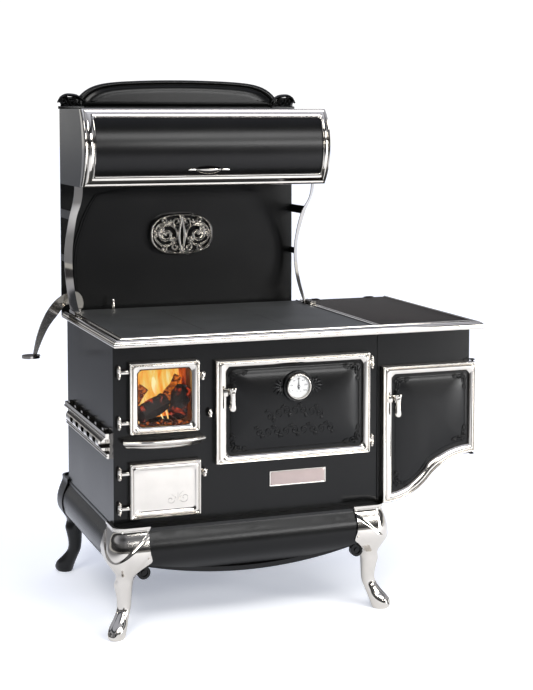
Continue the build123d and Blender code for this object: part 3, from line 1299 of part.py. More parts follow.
def ribbon_face(points):
    """Thin S-shaped section of a bracket along one edge, drawn in y and z."""
    front = [(GUARD_FRONT - out, COOK_TOP + share * CLOSET_RISE) for out, share in points]
    back = [(y + RIBBON, z) for y, z in reversed(front)]
    return make_face([Spline(*front), Line(front[-1], back[0]), Spline(*back), Line(back[-1], front[0])])


def ribbon():
    """Left bracket's S-shaped ribbon, twisted so that it faces forward and outward."""
    plane = Plane(origin=(GUARD_X0, 0, 0), x_dir=(0, 1, 0), z_dir=(1, 0, 0))
    outer = plane * ribbon_face(OUTER_EDGE)
    inner = plane.offset(RIBBON_WIDTH) * ribbon_face(INNER_EDGE)
    return loft([outer, inner], ruled=True)


def bracket_foot(x0, x1):
    """Foot of a bracket, on the raised bead of the rail or strip below it."""
    z0 = COOK_TOP + RAIL_BEAD
    return block(x0, x1, GUARD_FRONT - 186, GUARD_FRONT - 112, z0, z0 + 9)


def brackets():
    """Left bracket on the side rail and right bracket on the nickel strip."""
    left = ribbon() + bracket_foot(GUARD_X0, LEFT_INNER)
    return left, mirror_x(ribbon()) + bracket_foot(STRIP_X0 + 1, STRIP_X1 - 1)


def tie_tabs(left, right):
    """Four flat ties from the backguard's edges to the brackets."""
    tabs = []
    for share, height, reach in ((0.734, 26, 139), (0.39, 20, 64)):
        z0 = COOK_TOP + share * CLOSET_RISE
        tab = block(GUARD_X0, GUARD_X0 + 3, GUARD_FRONT - reach, GUARD_FRONT, z0, z0 + height)
        for piece in (tab - left, mirror_x(tab) - right):
            tabs.append(piece.solids().sort_by(Axis.Y)[-1])
    return tabs




def swing_arm():
    """Swan-neck arm that turns on the cooktop and ends in a small round tray."""
    x0, y0 = ARM_POST
    base = COOK_TOP + 4
    # points right of the post's axis and above the cooktop
    upper = ((9, 4), (13, 36), (-3, 59), (-50, 52), (-98, 6), (-130, -62), (-146, -133))
    lower = ((-135, -133), (-116, -84), (-87, -33), (-64, -5), (-43, 18), (-23, 24), (-11, 4))
    outer = Spline(*[(x0 + x, COOK_TOP + z) for x, z in upper])
    inner = Spline(*[(x0 + x, COOK_TOP + z) for x, z in lower])
    face = make_face([outer, Line(outer @ 1, inner @ 0), inner, Line(inner @ 1, outer @ 0)])
    arm = front_slab(face, y0 - ARM_HALF, y0 + ARM_HALF)
    arm += rod((x0, y0, COOK_TOP), (x0, y0, base + 4), 11)
    arm += rod((x0, y0, PLATE_BOTTOM + 2), (x0, y0, COOK_TOP + 1), ARM_PIN)
    tray = Pos(x0 - 152, y0, COOK_TOP - 137) * Cylinder(TRAY_RADIUS, 8)
    return arm + tray


# ---- draft register on the left wall ----


def draft_housing():
    """Fixed part of the draft register: slotted back, ribbed top guide, beaded bottom guide, stops."""
    back = block(-4, 0, DRAFT_Y0, DRAFT_Y1, DRAFT_BOTTOM, DRAFT_TOP)
    for y in DRAFT_SLOTS:
        back -= block(-5, 1, y, y + SLOT_LENGTH, SLOT_Z - SLOT_HALF, SLOT_Z + SLOT_HALF)
    back += block(-16, -3, DRAFT_Y0, DRAFT_Y1, DRAFT_TOP - 15, DRAFT_TOP)
    back += rod((-17, DRAFT_Y0, DRAFT_TOP - 13), (-17, DRAFT_Y1, DRAFT_TOP - 13), 2.5)
    for z in (DRAFT_BOTTOM + 3, DRAFT_BOTTOM + 10):
        back += rod((-10, DRAFT_Y0, z), (-10, DRAFT_Y1, z), 3)
    back += block(-10, -3, DRAFT_Y0, DRAFT_Y1, DRAFT_BOTTOM, DRAFT_BOTTOM + 13)
    count = 6
    pitch = (DRAFT_Y1 - DRAFT_Y0) / count
    for i in range(count):
        y = DRAFT_Y0 + pitch * (i + 0.5)
        back += block(-13, -1, y - 9, y + 9, DRAFT_TOP - 1, DRAFT_TOP + 9)
    return back


def draft_shutter():
    """Sliding half-round shutter with matching slots; pushed back it opens the air slots."""
    y0, y1 = DRAFT_Y0 + 22, DRAFT_Y1 - 22 - DRAFT_TRAVEL
    z0, z1, mid = SHUTTER_Z0, SHUTTER_Z1, SLOT_Z
    plate = block(-8, -4.5, y0, y1, z0, z1)
    bow = make_face([ThreePointArc((-7, z0), (-25, mid), (-7, z1)), Line((-7, z1), (-7, z0))])
    shell = extrude(Plane(origin=(0, y1, 0), x_dir=(1, 0, 0), z_dir=(0, -1, 0)) * bow, amount=y1 - y0)
    slots = plate + shell
    for y in DRAFT_SLOTS:
        start = y - DRAFT_TRAVEL - 6
        slots -= block(-30, 0, start, start + SLOT_LENGTH, mid - SLOT_HALF + 1, mid + SLOT_HALF - 1)
    return slots


# ---- small trim ----
def hearth_lip():
    """Bowed shelf under the fire door."""
    def bow(x0, x1, depth, belly):
        mid = (x0 + x1) / 2
        front = ThreePointArc((x0, -depth), (mid, -belly), (x1, -depth))
        return make_face([front, Polyline((x1, -depth), (x1, 0), (x0, 0), (x0, -depth))])
    x0, x1 = FIRE_DOOR[0] - 22, FIRE_DOOR[1] + 13
    top = FIRE_DOOR[2] - LIP_DROP
    low = top - LIP_THICK
    shelf = plan_slab(bow(x0, x1, LIP_OUT - 28, LIP_OUT), low, top)
    mould = plan_slab(bow(x0 + 10, x1 - 10, LIP_OUT - 38, LIP_OUT - 14), low - LIP_MOULD, low)
    return shelf + mould




def name_plate():
    """Bare plate with a raised border."""
    width, height = NAME_SIZE
    x0, z1 = OVEN_MIDDLE + NAME_SHIFT - width / 2, OVEN_DOOR[2] - NAME_DROP
    x1, z0 = x0 + width, z1 - height
    plate = block(x0, x1, -NAME_PLATE, 0, z0, z1)
    return plate - block(x0 + 3, x1 - 3, -NAME_PLATE - 1, -NAME_PLATE + 1.5, z0 + 3, z1 - 3)


def oven_catch():
    """Small knob that the oven handle's foot turns behind."""
    x, z = OVEN_DOOR[0] - CATCH_AT[0], OVEN_HANDLE[1] - CATCH_AT[1]
    return rod((x, -11, z), (x, 0, z), 4) + Pos(x, -12, z) * Sphere(6.5)


def oven_box():
    """Oven liner: open at the front, with ribs for the rack."""
    x0, x1, z0, z1 = OVEN_OPENING
    wall = LINER
    deep = BODY_DEPTH - LINER_BEHIND
    box = block(x0 - wall, x1 + wall, SHEET, deep, z0 - wall, z1 + wall)
    box -= block(x0, x1, 0, deep - wall, z0, z1)
    for x in (x0, x1 - RACK_RIB):
        box += block(x, x + RACK_RIB, SHEET + 10, deep - wall, RACK_Z - 6, RACK_Z)
    return box




def oven_rack():
    """Wire rack that rests on the oven's ribs."""
    x0, x1 = OVEN_OPENING[0] + 2, OVEN_OPENING[1] - 2
    y0, y1 = SHEET + 14, BODY_DEPTH - LINER_BEHIND - LINER - 6
    radius = 3
    z = RACK_Z + radius
    half = radius / sqrt(2)
    rack = block(x0, x0 + 2 * half, y0, y1, RACK_Z, RACK_Z + 2 * radius)
    rack += block(x1 - 2 * half, x1, y0, y1, RACK_Z, RACK_Z + 2 * radius)
    for y in (y0, y1 - 2 * half):
        rack += block(x0, x1, y, y + 2 * half, RACK_Z, RACK_Z + 2 * radius)
    count = 15
    pitch = (x1 - x0) / count
    for i in range(1, count):
        rack += rod((x0 + pitch * i, y0 + 1, z), (x0 + pitch * i, y1 - 1, z), 2)
    return rack


def base_plate():
    """Flat plate under the body that joins the legs."""
    width = BODY_WIDTH + 2 * BASE_SIDE
    depth = BASE_BACK + BASE_FRONT
    face = Pos(CENTRE, BASE_MID_Y) * RectangleRounded(width, depth, BASE_CORNER)
    return plan_slab(face, BODY_BOTTOM - BASE_PLATE, BODY_BOTTOM)


# ---- every node ----
def build():
    """All pieces by name, in the making frame."""
    screws = as_one(leg_screws())
    front_legs, rear_legs = four_legs(screws)
    front, rear, left, right = skirts()
    left_bracket, right_bracket = brackets()
    pins = [hinge_pin(*LEFT_HINGE, z) for z in FIRE_HINGES + ASH_HINGES]
    pins += [hinge_pin(OVEN_HINGE_X, RIGHT_HINGE_Y, z) for z in OVEN_HINGES]
    return {
        "front_legs": front_legs,
        "rear_legs": rear_legs,
        "leg_screws": screws,
        "base_plate": base_plate(),
        "front_skirt": front + (skirt_trim() - front_legs[0] - front_legs[1]),
        "base_skirts": [rear, left, right],
        "front_plate": front_plate(),
        "side_walls": [left_wall(), side_wall(BODY_WIDTH - SHEET)],
        "back_panel": back_panel(),
        "firebox_wall": firebox_wall(),
        "fire_bricks": fire_bricks(),
        "grate_frame": grate_frame(),
        "rocking_grate": rocking_grate(),
        "ash_floor": ash_floor(),
        "ash_pan": ash_pan(),
        "fire_door_frame": fire_door_frame(),
        "fire_door_glass": fire_door_glass(),
        "glass_clips": glass_clips(),
        "fire_door_latch": latch(*FIRE_LATCH),
        "ash_door": ash_door(),
        "ash_door_latch": latch(*ASH_LATCH),
        "door_hinge_pins": pins,
        "hearth_lip": hearth_lip(),
        "draft_housing": draft_housing(),
        "draft_shutter": draft_shutter(),
        "oven_box": oven_box(),
        "oven_rack": oven_rack(),
        "oven_door_frame": oven_door_frame(),
        "oven_door_panel": oven_door_panel(),
        "oven_handle": handle(*OVEN_HANDLE),
        "oven_catch": oven_catch(),
        "thermometer_case": [thermometer_housing(), thermometer_bezel()],
        "thermometer_dial": thermometer_dial(),
        "thermometer_pointer": thermometer_pointer(),
        "thermometer_glass": thermometer_glass(),
        "name_plate": name_plate(),
        "side_casing": side_casing(),
        "reservoir_tank": reservoir_tank(),
        "reservoir_lid": reservoir_lid(),
        "side_door_frame": side_door_frame(),
        "side_door_panel": side_door_panel(),
        "side_handle": handle(*SIDE_HANDLE),
        "top_frame": top_frame(),
        "cook_plate_left": cook_plate(LEFT_INNER, SEAM_A),
        "cook_plates": [cook_plate(SEAM_A, SEAM_B), cook_plate(SEAM_B, STRIP_X0), rear_plate()],
        "cooktop_rails": [front_rail(), left_rail(), right_rail(), cooktop_strip()],
        "damper": damper(),
        "swing_arm": swing_arm(),
        "flue_box": flue_box(),
        "flue_collar": flue_collar(),
        "backguard": backguard(),
        "vent_grille": vent_ring() + vent_grille(),
        "closet_brackets": [left_bracket, right_bracket],
        "tie_tabs": tie_tabs(left_bracket, right_bracket),
        "closet_case": closet_case(),
        "closet_frame": closet_frame(),
        "closet_door": closet_door(),
        "closet_pull": closet_pull(),
        "crest": crest(),
        "crest_scrolls": crest_scrolls(),
    }


def as_one(piece):
    """A node's shape: its solids kept apart in one compound."""
    parts = piece if isinstance(piece, list) else [piece]
    return Compound([solid for part in parts for solid in part.solids()])


PIECES = {name: as_one(piece) for name, piece in build().items()}
BOX = Compound([shape for shape in PIECES.values()]).bounding_box()
ORIGIN = Vector((BOX.min.X + BOX.max.X) / 2, (BOX.min.Y + BOX.max.Y) / 2, BOX.min.Z)

os.makedirs("parts", exist_ok=True)
for name, shape in PIECES.items():
    export_step(Pos(-ORIGIN.X, -ORIGIN.Y, -ORIGIN.Z) * shape, f"parts/{name}.step")

print("origin in the making frame:", [round(v, 3) for v in ORIGIN])
print("size:", [round(v, 1) for v in BOX.size], "pieces:", len(PIECES))
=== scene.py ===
import random
from math import asin, atan2, copysign, cos, degrees, hypot, pi, radians, sin, sqrt, tau
import bmesh
import bpy
from mathutils import Matrix, Vector


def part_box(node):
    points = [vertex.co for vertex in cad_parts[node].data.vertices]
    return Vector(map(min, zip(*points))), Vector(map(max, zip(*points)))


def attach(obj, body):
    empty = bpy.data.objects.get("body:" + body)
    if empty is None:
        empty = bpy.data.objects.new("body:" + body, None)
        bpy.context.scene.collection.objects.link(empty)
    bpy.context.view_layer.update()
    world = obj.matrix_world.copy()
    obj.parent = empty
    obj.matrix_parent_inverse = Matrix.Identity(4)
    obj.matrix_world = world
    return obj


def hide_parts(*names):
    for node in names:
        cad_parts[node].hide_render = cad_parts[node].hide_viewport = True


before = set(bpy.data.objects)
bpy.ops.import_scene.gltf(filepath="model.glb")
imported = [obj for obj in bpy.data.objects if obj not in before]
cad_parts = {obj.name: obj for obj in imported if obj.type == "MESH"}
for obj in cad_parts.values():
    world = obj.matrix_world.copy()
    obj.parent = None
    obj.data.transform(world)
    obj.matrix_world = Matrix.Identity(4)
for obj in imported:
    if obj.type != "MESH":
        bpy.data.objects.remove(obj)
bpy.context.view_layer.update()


# ---- Front legs: nickel-plated cabriole castings ----
# Each leg is one iron casting, polished and nickel plated. Two thin wings with a raised shield lap
# the corner of the base and are screwed to it; the knee runs down to a round shank and a grooved toe.

# Pieces are drawn in millimetres from the front plate's left edge and front face and from the
# floor: x to the right, y to the back, z up. set_piece() moves them into the frame's metres.
FACE_LOW, FACE_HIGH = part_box("front_plate")
TO_FRAME = Matrix.Translation((FACE_LOW[0], FACE_LOW[1], 0)) @ Matrix.Scale(0.001, 4)
BODY_WIDTH = round((FACE_HIGH[0] - FACE_LOW[0]) * 1000, 2)
BODY_BOTTOM = round(FACE_LOW[2] * 1000, 2)
LEG_TOP = BODY_BOTTOM + 6          # the flange laps the body's foot
BASE_CORNER_AT = (-2, -42)
BASE_ROUND = 26
# height, and how far the leg's face stands out past the base's corner faces
LEG_SWELL = ((313, 6), (299, 6), (272, 16), (245, 22.5), (215, 20), (187, 3), (165, -13), (148, -20))
# height, and how far a wing reaches from the base's corner
WING_END = ((313, 94), (291, 89), (262, 87), (240, 90), (226, 94), (216, 94), (206, 82), (190, 64),
            (172, 48), (148, 38))
# height, distance out along the leg's diagonal, half length along it, half width
SHANK = ((0, 42, 23, 20), (5, 43, 27, 23), (14, 43, 30, 25), (31, 36, 30, 25), (52, 20, 24, 21),
         (74, 6, 20, 20), (100, 3, 21, 21), (125, 5, 24, 24), (150, 8, 28, 28), (184, 12, 35, 35))
SHANK_AT = 29
KNEE_LOW, KNEE_RUN = 140, 44       # where the shank starts to open into wings, and over what height
WING_WALL = 6.5
SHIELD = 3.2                       # how far the shield stands proud
TOE_GROOVE = 3.5
OUTSIDE, INSIDE = 80, 20           # points round the leg's outer and inner faces


def read_off(table, value, column=1):
    """Reads a smooth curve through a table at a value."""
    rows = sorted(table)
    value = min(max(value, rows[0][0]), rows[-1][0])
    at = next(i for i in range(1, len(rows)) if value <= rows[i][0])
    before, a, b, after = rows[max(at - 2, 0)], rows[at - 1], rows[at], rows[min(at + 1, len(rows) - 1)]
    span = b[0] - a[0]
    share = (value - a[0]) / span
    slope_a = (b[column] - before[column]) / (b[0] - before[0]) * span
    slope_b = (after[column] - a[column]) / (after[0] - a[0]) * span
    s2, s3 = share ** 2, share ** 3
    return (a[column] * (2 * s3 - 3 * s2 + 1) + slope_a * (s3 - 2 * s2 + share)
            + b[column] * (3 * s2 - 2 * s3) + slope_b * (s3 - s2))


def ease(value):
    """Soft step from 0 to 1."""
    value = min(max(value, 0), 1)
    return value * value * (3 - 2 * value)


def bent_path(reach, out, radius, share):
    """A point on the path round the base's corner, from the side wing's end (0) to the front one's (1)."""
    radius = min(radius, 0.85 * reach)
    straight = reach - radius
    total = 2 * straight + radius * pi / 2
    run = share * total
    x, y = BASE_CORNER_AT[0] - out, BASE_CORNER_AT[1] - out
    if run < straight:
        return Vector((x, y + reach - run)), Vector((-1, 0))
    if run > total - straight:
        return Vector((x + radius + run - (total - straight), y)), Vector((0, -1))
    turn = pi + (run - straight) / radius
    normal = Vector((cos(turn), sin(turn)))
    return Vector((x + radius, y + radius)) + radius * normal, normal


def shield_relief(u, z):
    """Height of the raised shield at a distance from the leg's corner."""
    upper = 222 + 70 * (u / 95) ** 1.5
    lower = 138 + 0.8 * u
    return SHIELD * ease((z - lower) / 18) * ease((upper - z) / 9)


def leg_hoop(z, ornate):
    """One closed row of points round the leg at a height."""
    out = read_off(LEG_SWELL, z)
    reach = read_off(WING_END, z) + out
    winged = ease((z - KNEE_LOW) / KNEE_RUN)
    wall = WING_WALL + 22 * ease((225 - z) / 60)
    away, half_long, half_wide = (read_off(SHANK, z, column) for column in (1, 2, 3))
    outward, across = Vector((-1, -1)).normalized(), Vector((1, -1)).normalized()
    centre = Vector((SHANK_AT, 0)) + away * outward
    flange = 3 * ease((z - 303) / 2.5)
    row = []
    for i in range(OUTSIDE):
        share = i / (OUTSIDE - 1)
        wing, normal = bent_path(reach, out, BASE_ROUND + out, share)
        side = 2 * share - 1
        relief = (shield_relief(abs(side) * reach, z) + flange) * ornate
        turn = radians(90 * side)
        groove = ease((0.36 - abs(side)) / 0.18) * ease((z - 6) / 14) * ease((92 - z) / 24)
        ridge = 1.2 * ease((0.52 - abs(side)) / 0.2) * ease((96 - z) / 24)
        rim = 1 + (-TOE_GROOVE * groove + ridge) / half_long
        shank = centre + half_long * rim * cos(turn) * outward + half_wide * rim * sin(turn) * across
        row.append(shank.lerp(wing, winged) + normal * relief * winged)
    for i in range(1, INSIDE):
        share = 1 - i / INSIDE
        wing, normal = bent_path(reach - 1, out - wall, max(BASE_ROUND + out - wall, 4), share)
        turn = radians(90 + 180 * i / INSIDE)
        shank = centre + half_long * cos(turn) * outward + half_wide * sin(turn) * across
        row.append(shank.lerp(wing, winged))
    return [(p.x, p.y, z) for p in row]


def hoop(mesh, points, closed):
    """A row of points joined by edges."""
    verts = [mesh.verts.new(p) for p in points]
    ends = verts[1:] + (verts[:1] if closed else [])
    return [mesh.edges.new(pair) for pair in zip(verts, ends)]


def skin(rows, mesh=None, ring=False, closed=True):
    """Joins rows of points and closes both ends; a ring's last row is joined to its first instead."""
    mesh = bmesh.new() if mesh is None else mesh
    hoops = [hoop(mesh, row, closed) for row in rows]
    capped = closed and not ring
    if ring:
        hoops.append(hoops[0])
    for near, far in zip(hoops, hoops[1:]):
        if capped and abs(near[0].verts[0].co.y - far[0].verts[0].co.y) > 0.05:
            bmesh.ops.bridge_loops(mesh, edges=near + far)
            continue
        # rows that may lie in one plane are joined edge by edge, so that nothing is filled
        for pair in zip(near, far):
            bmesh.ops.contextual_create(mesh, geom=list(pair))
    if capped:
        for end in (hoops[0], hoops[-1]):
            bmesh.ops.contextual_create(mesh, geom=end)
    return mesh


def linked(name, data):
    """A new object in the scene."""
    thing = bpy.data.objects.new(name, data)
    bpy.context.scene.collection.objects.link(thing)
    return thing


def set_piece(name, mesh, material, body, *nodes, slot="nickel", crease=38):
    """Puts a finished shape in the frame, on its body, in place of the nodes it stands for."""
    bmesh.ops.remove_doubles(mesh, verts=mesh.verts, dist=0.002)
    bmesh.ops.recalc_face_normals(mesh, faces=mesh.faces)
    data = bpy.data.meshes.new(name)
    mesh.transform(TO_FRAME)
    mesh.to_mesh(data)
    mesh.free()
    data.materials.append(material)
    data.shade_smooth()
    data.set_sharp_from_angle(angle=radians(crease))
    piece = linked(name, data)
    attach(piece, body)
    if nodes:
        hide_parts(*nodes)


def wired(tree, kind, values, feeds, **manner):
    """Adds a shader node with its settings, its sockets' values and what feeds them; gives its outputs."""
    node = tree.nodes.new("ShaderNode" + kind)
    for setting, choice in manner.items():
        setattr(node, setting, choice)
    for socket, value in values.items():
        node.inputs[socket].default_value = value
    for socket, source in feeds.items():
        tree.links.new(source, node.inputs[socket])
    return node.outputs


def toned(tree, source, stops):
    """Colour ramp over a pattern; a stop is a place and a colour."""
    node = tree.nodes.new("ShaderNodeValToRGB")
    for at, colour in stops[1:-1]:
        node.color_ramp.elements.new(at)
    for stop, (at, colour) in zip(node.color_ramp.elements, stops):
        stop.position = at
        stop.color = (*colour, 1)
    tree.links.new(source, node.inputs["Fac"])
    return node.outputs["Color"]


def bare_finish(name, values):
    """A finish with its shader's plain values, and the pieces' own coordinates."""
    material = bpy.data.materials.new(name)
    material.use_nodes = True
    tree = material.node_tree
    shader = tree.nodes["Principled BSDF"]
    for socket, value in values.items():
        shader.inputs[socket].default_value = value
    return material, tree, shader.inputs, wired(tree, "TexCoord", {}, {})["Object"]


def finish(name, values, cloud, stops, relief, gloss=None, grain=None, tint="Base Color", stretch=None):
    """A finish whose tone, and gloss where given, drift with a cloudy pattern under a fine relief."""
    material, tree, sockets, place = bare_finish(name, values)
    if stretch:
        place = wired(tree, "Mapping", {"Scale": stretch}, {"Vector": place})["Vector"]
    pattern = wired(tree, "TexNoise", cloud, {"Vector": place})["Fac"]
    tree.links.new(toned(tree, pattern, stops), sockets[tint])
    if gloss:
        drift = wired(tree, "MapRange", {"To Min": gloss[0], "To Max": gloss[1]}, {"Value": pattern})
        tree.links.new(drift["Result"], sockets["Roughness"])
    if grain:
        pattern = wired(tree, "TexNoise", grain, {"Vector": place})["Fac"]
    bump = wired(tree, "Bump", {"Strength": relief[0], "Distance": relief[1]}, {"Height": pattern})
    tree.links.new(bump["Normal"], sockets["Normal"])
    return material


def shades(colour, low, dark, high, bright):
    """Two stops of one colour, darker and brighter."""
    return (low, [c * dark for c in colour]), (high, [c * bright for c in colour])


def plated(name, colour, roughness, ripple):
    """Polished nickel plate: a warm mirror with a slow ripple and a faint polishing haze."""
    return finish(name, {"Metallic": 1}, {"Scale": 26, "Detail": 5}, shades(colour, 0.3, 0.93, 0.7, 1),
                  (ripple, 0.004), (roughness * 0.7, roughness * 1.4), {"Scale": 7, "Detail": 0})


def whole(mesh):
    """All that a shape is made of."""
    return mesh.verts[:] + mesh.edges[:] + mesh.faces[:]


def mirrored(mesh, middle):
    """Adds the shape's mirror image across the upright plane at x = middle."""
    for part in bmesh.ops.duplicate(mesh, geom=whole(mesh))["geom"]:
        if isinstance(part, bmesh.types.BMVert):
            part.co.x = 2 * middle - part.co.x
    return mesh


def leg_mesh(ornate=1):
    """Front left leg; ornate 0 leaves out the shield and the flange."""
    heights = [0, *range(2, 300, 3), 301, 303, 304, 305, 306, 309, 312, LEG_TOP]
    return skin([leg_hoop(z, ornate) for z in heights])


nickel = plated("nickel", (0.56, 0.53, 0.485), 0.09, 0.07)
legs = mirrored(leg_mesh(), BODY_WIDTH / 2)
set_piece("front_leg_castings", legs, nickel, "stove", "front_legs", crease=62)


# ---- Black enamel: rear legs, body walls, skirts and shelves ----
# Vitreous enamel fired on iron castings and sheet: near black, with a soft gloss, a faint orange-peel
# and a slow change of sheen. The rear legs are the front pattern in black.
def enamel(name, colour, roughness, peel, gleam):
    """Fired enamel."""
    return finish(name, {"Specular IOR Level": gleam}, {"Scale": 5, "Detail": 4},
                  shades(colour, 0.35, 0.8, 0.68, 1.2), (peel, 0.0006), (roughness * 0.85, roughness * 1.15),
                  {"Scale": 380, "Detail": 2})


def dress(material, *names):
    """Gives CAD pieces their material."""
    for name in names:
        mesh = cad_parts[name].data
        mesh.materials.clear()
        mesh.materials.append(material)


BASE_MIDDLE_Y = 306
black_enamel = enamel("black_enamel", (0.0024, 0.0024, 0.0023), 0.25, 0.05, 0.21)
black_casting = enamel("black_casting", (0.0024, 0.0024, 0.0023), 0.34, 0.3, 0.34)
dress(black_enamel, "front_plate", "side_walls", "back_panel", "side_casing", "backguard", "closet_case",
      "base_skirts", "front_skirt")
dress(black_casting, "base_plate", "top_frame", "tie_tabs", "flue_box", "flue_collar")

rear = leg_mesh(0)
for vert in rear.verts:
    vert.co.y = 2 * BASE_MIDDLE_Y - vert.co.y
set_piece("rear_leg_castings", mirrored(rear, BODY_WIDTH / 2), black_casting, "stove", "rear_legs",
          slot="black_casting")


# ---- Door frames: fire, oven and storage ----
# Each is one nickel-plated casting: a bead round the outside, a groove, and a broad band that falls
# to a rounded opening. Hinge eyes, latch ears and handle posts are cast or riveted on.
DOOR_BACK, DOOR_FRONT, PANEL_FRONT = -2, -22, -8.2
# share of the member's width from the outer edge, depth, and radius of the corners there
DOOR_MOULDING = (
    (0, DOOR_BACK, 3), (0, -16.5, 3), (0.02, -19.5, 3.5), (0.07, -21.6, 4), (0.13, DOOR_FRONT, 4.5),
    (0.20, -21.2, 5), (0.25, -18.4, 5.5), (0.29, -17.6, 6), (0.33, -18.4, 6.5), (0.37, -20.4, 7),
    (0.46, -20.9, 8), (0.62, -20.2, 9), (0.78, -18.2, 10), (0.9, -15.4, 11.5), (0.96, -13.2, 12.5),
    (1, -10.5, 13), (1, PANEL_FRONT, 13), (0.5, PANEL_FRONT, 10), (0.5, DOOR_BACK, 10))
FIRE_DOOR, FIRE_MEMBERS = (42, 245, 566, 766), (27, 23, 20, 23)
OVEN_DOOR, OVEN_MEMBERS = (292, 766, 463, 759), (36, 21, 23, 23)
LEFT_HINGES_AT = (15, -11)
FIRE_HINGES = (599, 741)
OVEN_HINGES_AT = (774, -15)
OVEN_HINGES = (498, 729)
EYE = 6.5
FIRE_LATCH_AT = (254.5, 721)
OVEN_POST_AT = (336, 668)
SIDE_POST_AT = (847, 617)
CORNER_STEPS = 7
UP, INWARD, OUTWARD = (0, 0, 1), (0, 1, 0), (0, -1, 0)


def polar(x, z, reach, turn):
    """Place in x and z at a distance and an angle from a point."""
    return x + reach * cos(radians(turn)), z + reach * sin(radians(turn))


def corner(x, z, radius, start, before, after):
    """Quarter circle in x and z with a point on the straight at each end of it."""
    points = [polar(x, z, radius, start + 90 * i / CORNER_STEPS) for i in range(CORNER_STEPS + 1)]
    c, s = round(cos(radians(start))), round(sin(radians(start)))
    first = (points[0][0] + s * before, points[0][1] - c * before)
    last = (points[-1][0] - c * after, points[-1][1] - s * after)
    return [first] + points + [last]


def rounded_box(x0, x1, z0, z1, radius, y):
    """Points round an upright rectangle with rounded corners."""
    wide, tall = (min(3, (run - 2 * radius) / 3) for run in (x1 - x0, z1 - z0))
    points = corner(x1 - radius, z0 + radius, radius, -90, wide, tall)
    points += corner(x1 - radius, z1 - radius, radius, 0, tall, wide)
    points += corner(x0 + radius, z1 - radius, radius, 90, wide, tall)
    points += corner(x0 + radius, z0 + radius, radius, 180, tall, wide)
    return [(x, y, z) for x, z in points]


def within(door, members, share):
    """A door's edges moved in by a share of its members' widths."""
    (x0, x1, z0, z1), (left, right, low, top) = door, members
    return x0 + share * left, x1 - share * right, z0 + share * low, z1 - share * top


def moulded_frame(door, members):
    """Frame whose section follows the door moulding all the way round."""
    return skin([rounded_box(*within(door, members, share), radius, y) for share, y, radius in DOOR_MOULDING],
                ring=True)


def turned(mesh, centre, axis, profile, steps=24):
    """Lathe-turned part: rows of distance along the axis and radius."""
    centre, axis = Vector(centre), Vector(axis).normalized()
    side = axis.orthogonal().normalized()
    verts = [mesh.verts.new(centre + axis * along + side * max(radius, 0.001)) for along, radius in profile]
    edges = [mesh.edges.new(pair) for pair in zip(verts, verts[1:])]
    bmesh.ops.spin(mesh, geom=verts + edges, cent=centre, axis=axis, angle=tau, steps=steps, use_merge=True)
    return mesh


def bar(mesh, x0, x1, y0, y1, z0, z1, round_edge=1.2):
    """Small block with rounded edges."""
    fresh = bmesh.ops.create_cube(mesh, size=1)["verts"]
    bmesh.ops.scale(mesh, vec=(x1 - x0, y1 - y0, z1 - z0), verts=fresh)
    bmesh.ops.translate(mesh, vec=((x0 + x1) / 2, (y0 + y1) / 2, (z0 + z1) / 2), verts=fresh)
    edges = list({edge for vert in fresh for edge in vert.link_edges})
    bmesh.ops.bevel(mesh, geom=edges, offset=round_edge, affect="EDGES", segments=2, profile=0.5, material=-1)


def hinge_eye(mesh, at, z, edge):
    """Eye on a door's edge that turns on the hinge pin."""
    x, y = at
    turned(mesh, (x, y, z), UP, ((-6, 3.2), (-6, 5.6), (-5, EYE), (-1.5, EYE), (0, 5.4), (1.5, EYE), (5, EYE),
                                 (6, 5.6), (6, 3.2)))
    side = 1 if edge > x else -1
    start, reach = sorted((x + 4.5 * side, edge + 4 * side))
    bar(mesh, start, reach, y - 3.6, y + 3.6, z - 5, z + 5, 1.6)


def latch_ear(mesh, x, z):
    """Ear on a door's right edge that its latch turns in."""
    bar(mesh, x - 14, x - 3.2, -13.5, -7.2, z - 8.5, z + 8.5, 2)
    turned(mesh, (x, -13.6, z), INWARD, ((0, 3.2), (0, 7.4), (1, 8.6), (5.4, 8.6), (6.4, 7.4), (6.4, 3.2)))


def handle_post(mesh, x, z, reach):
    """Plate and headed pin that a hanging handle swings on."""
    bar(mesh, x - reach, x + 8, -25, -17, z - 11, z + 11, 2.4)
    turned(mesh, (x, -26, z), OUTWARD, ((-8, 7.5), (-1, 7.5), (1.5, 6.6), (6.5, 6.8), (7.4, 6.2), (7.4, 3.9),
                                        (18.6, 3.9), (18.6, 5.6), (20, 6), (21.4, 5), (22, 0)))


shape = moulded_frame(FIRE_DOOR, FIRE_MEMBERS)
for z in FIRE_HINGES:
    hinge_eye(shape, LEFT_HINGES_AT, z, FIRE_DOOR[0])
latch_ear(shape, *FIRE_LATCH_AT)
set_piece("fire_door_casting", shape, nickel, "fire_door", "fire_door_frame")

shape = moulded_frame(OVEN_DOOR, OVEN_MEMBERS)
for z in OVEN_HINGES:
    hinge_eye(shape, OVEN_HINGES_AT, z, OVEN_DOOR[1])
handle_post(shape, *OVEN_POST_AT, 22)
set_piece("oven_door_casting", shape, nickel, "oven_door", "oven_door_frame")

# The storage door's lower edge is a double curve: two arcs that meet half-way.
SIDE_DOOR = (807, 1109, 307, 713)
SIDE_RIGHT_LOW = 438
SIDE_MEMBERS = (34, 18, 27, 28)
SIDE_FLAT = 6
SIDE_CURVE = 30                    # steps along the lower edge


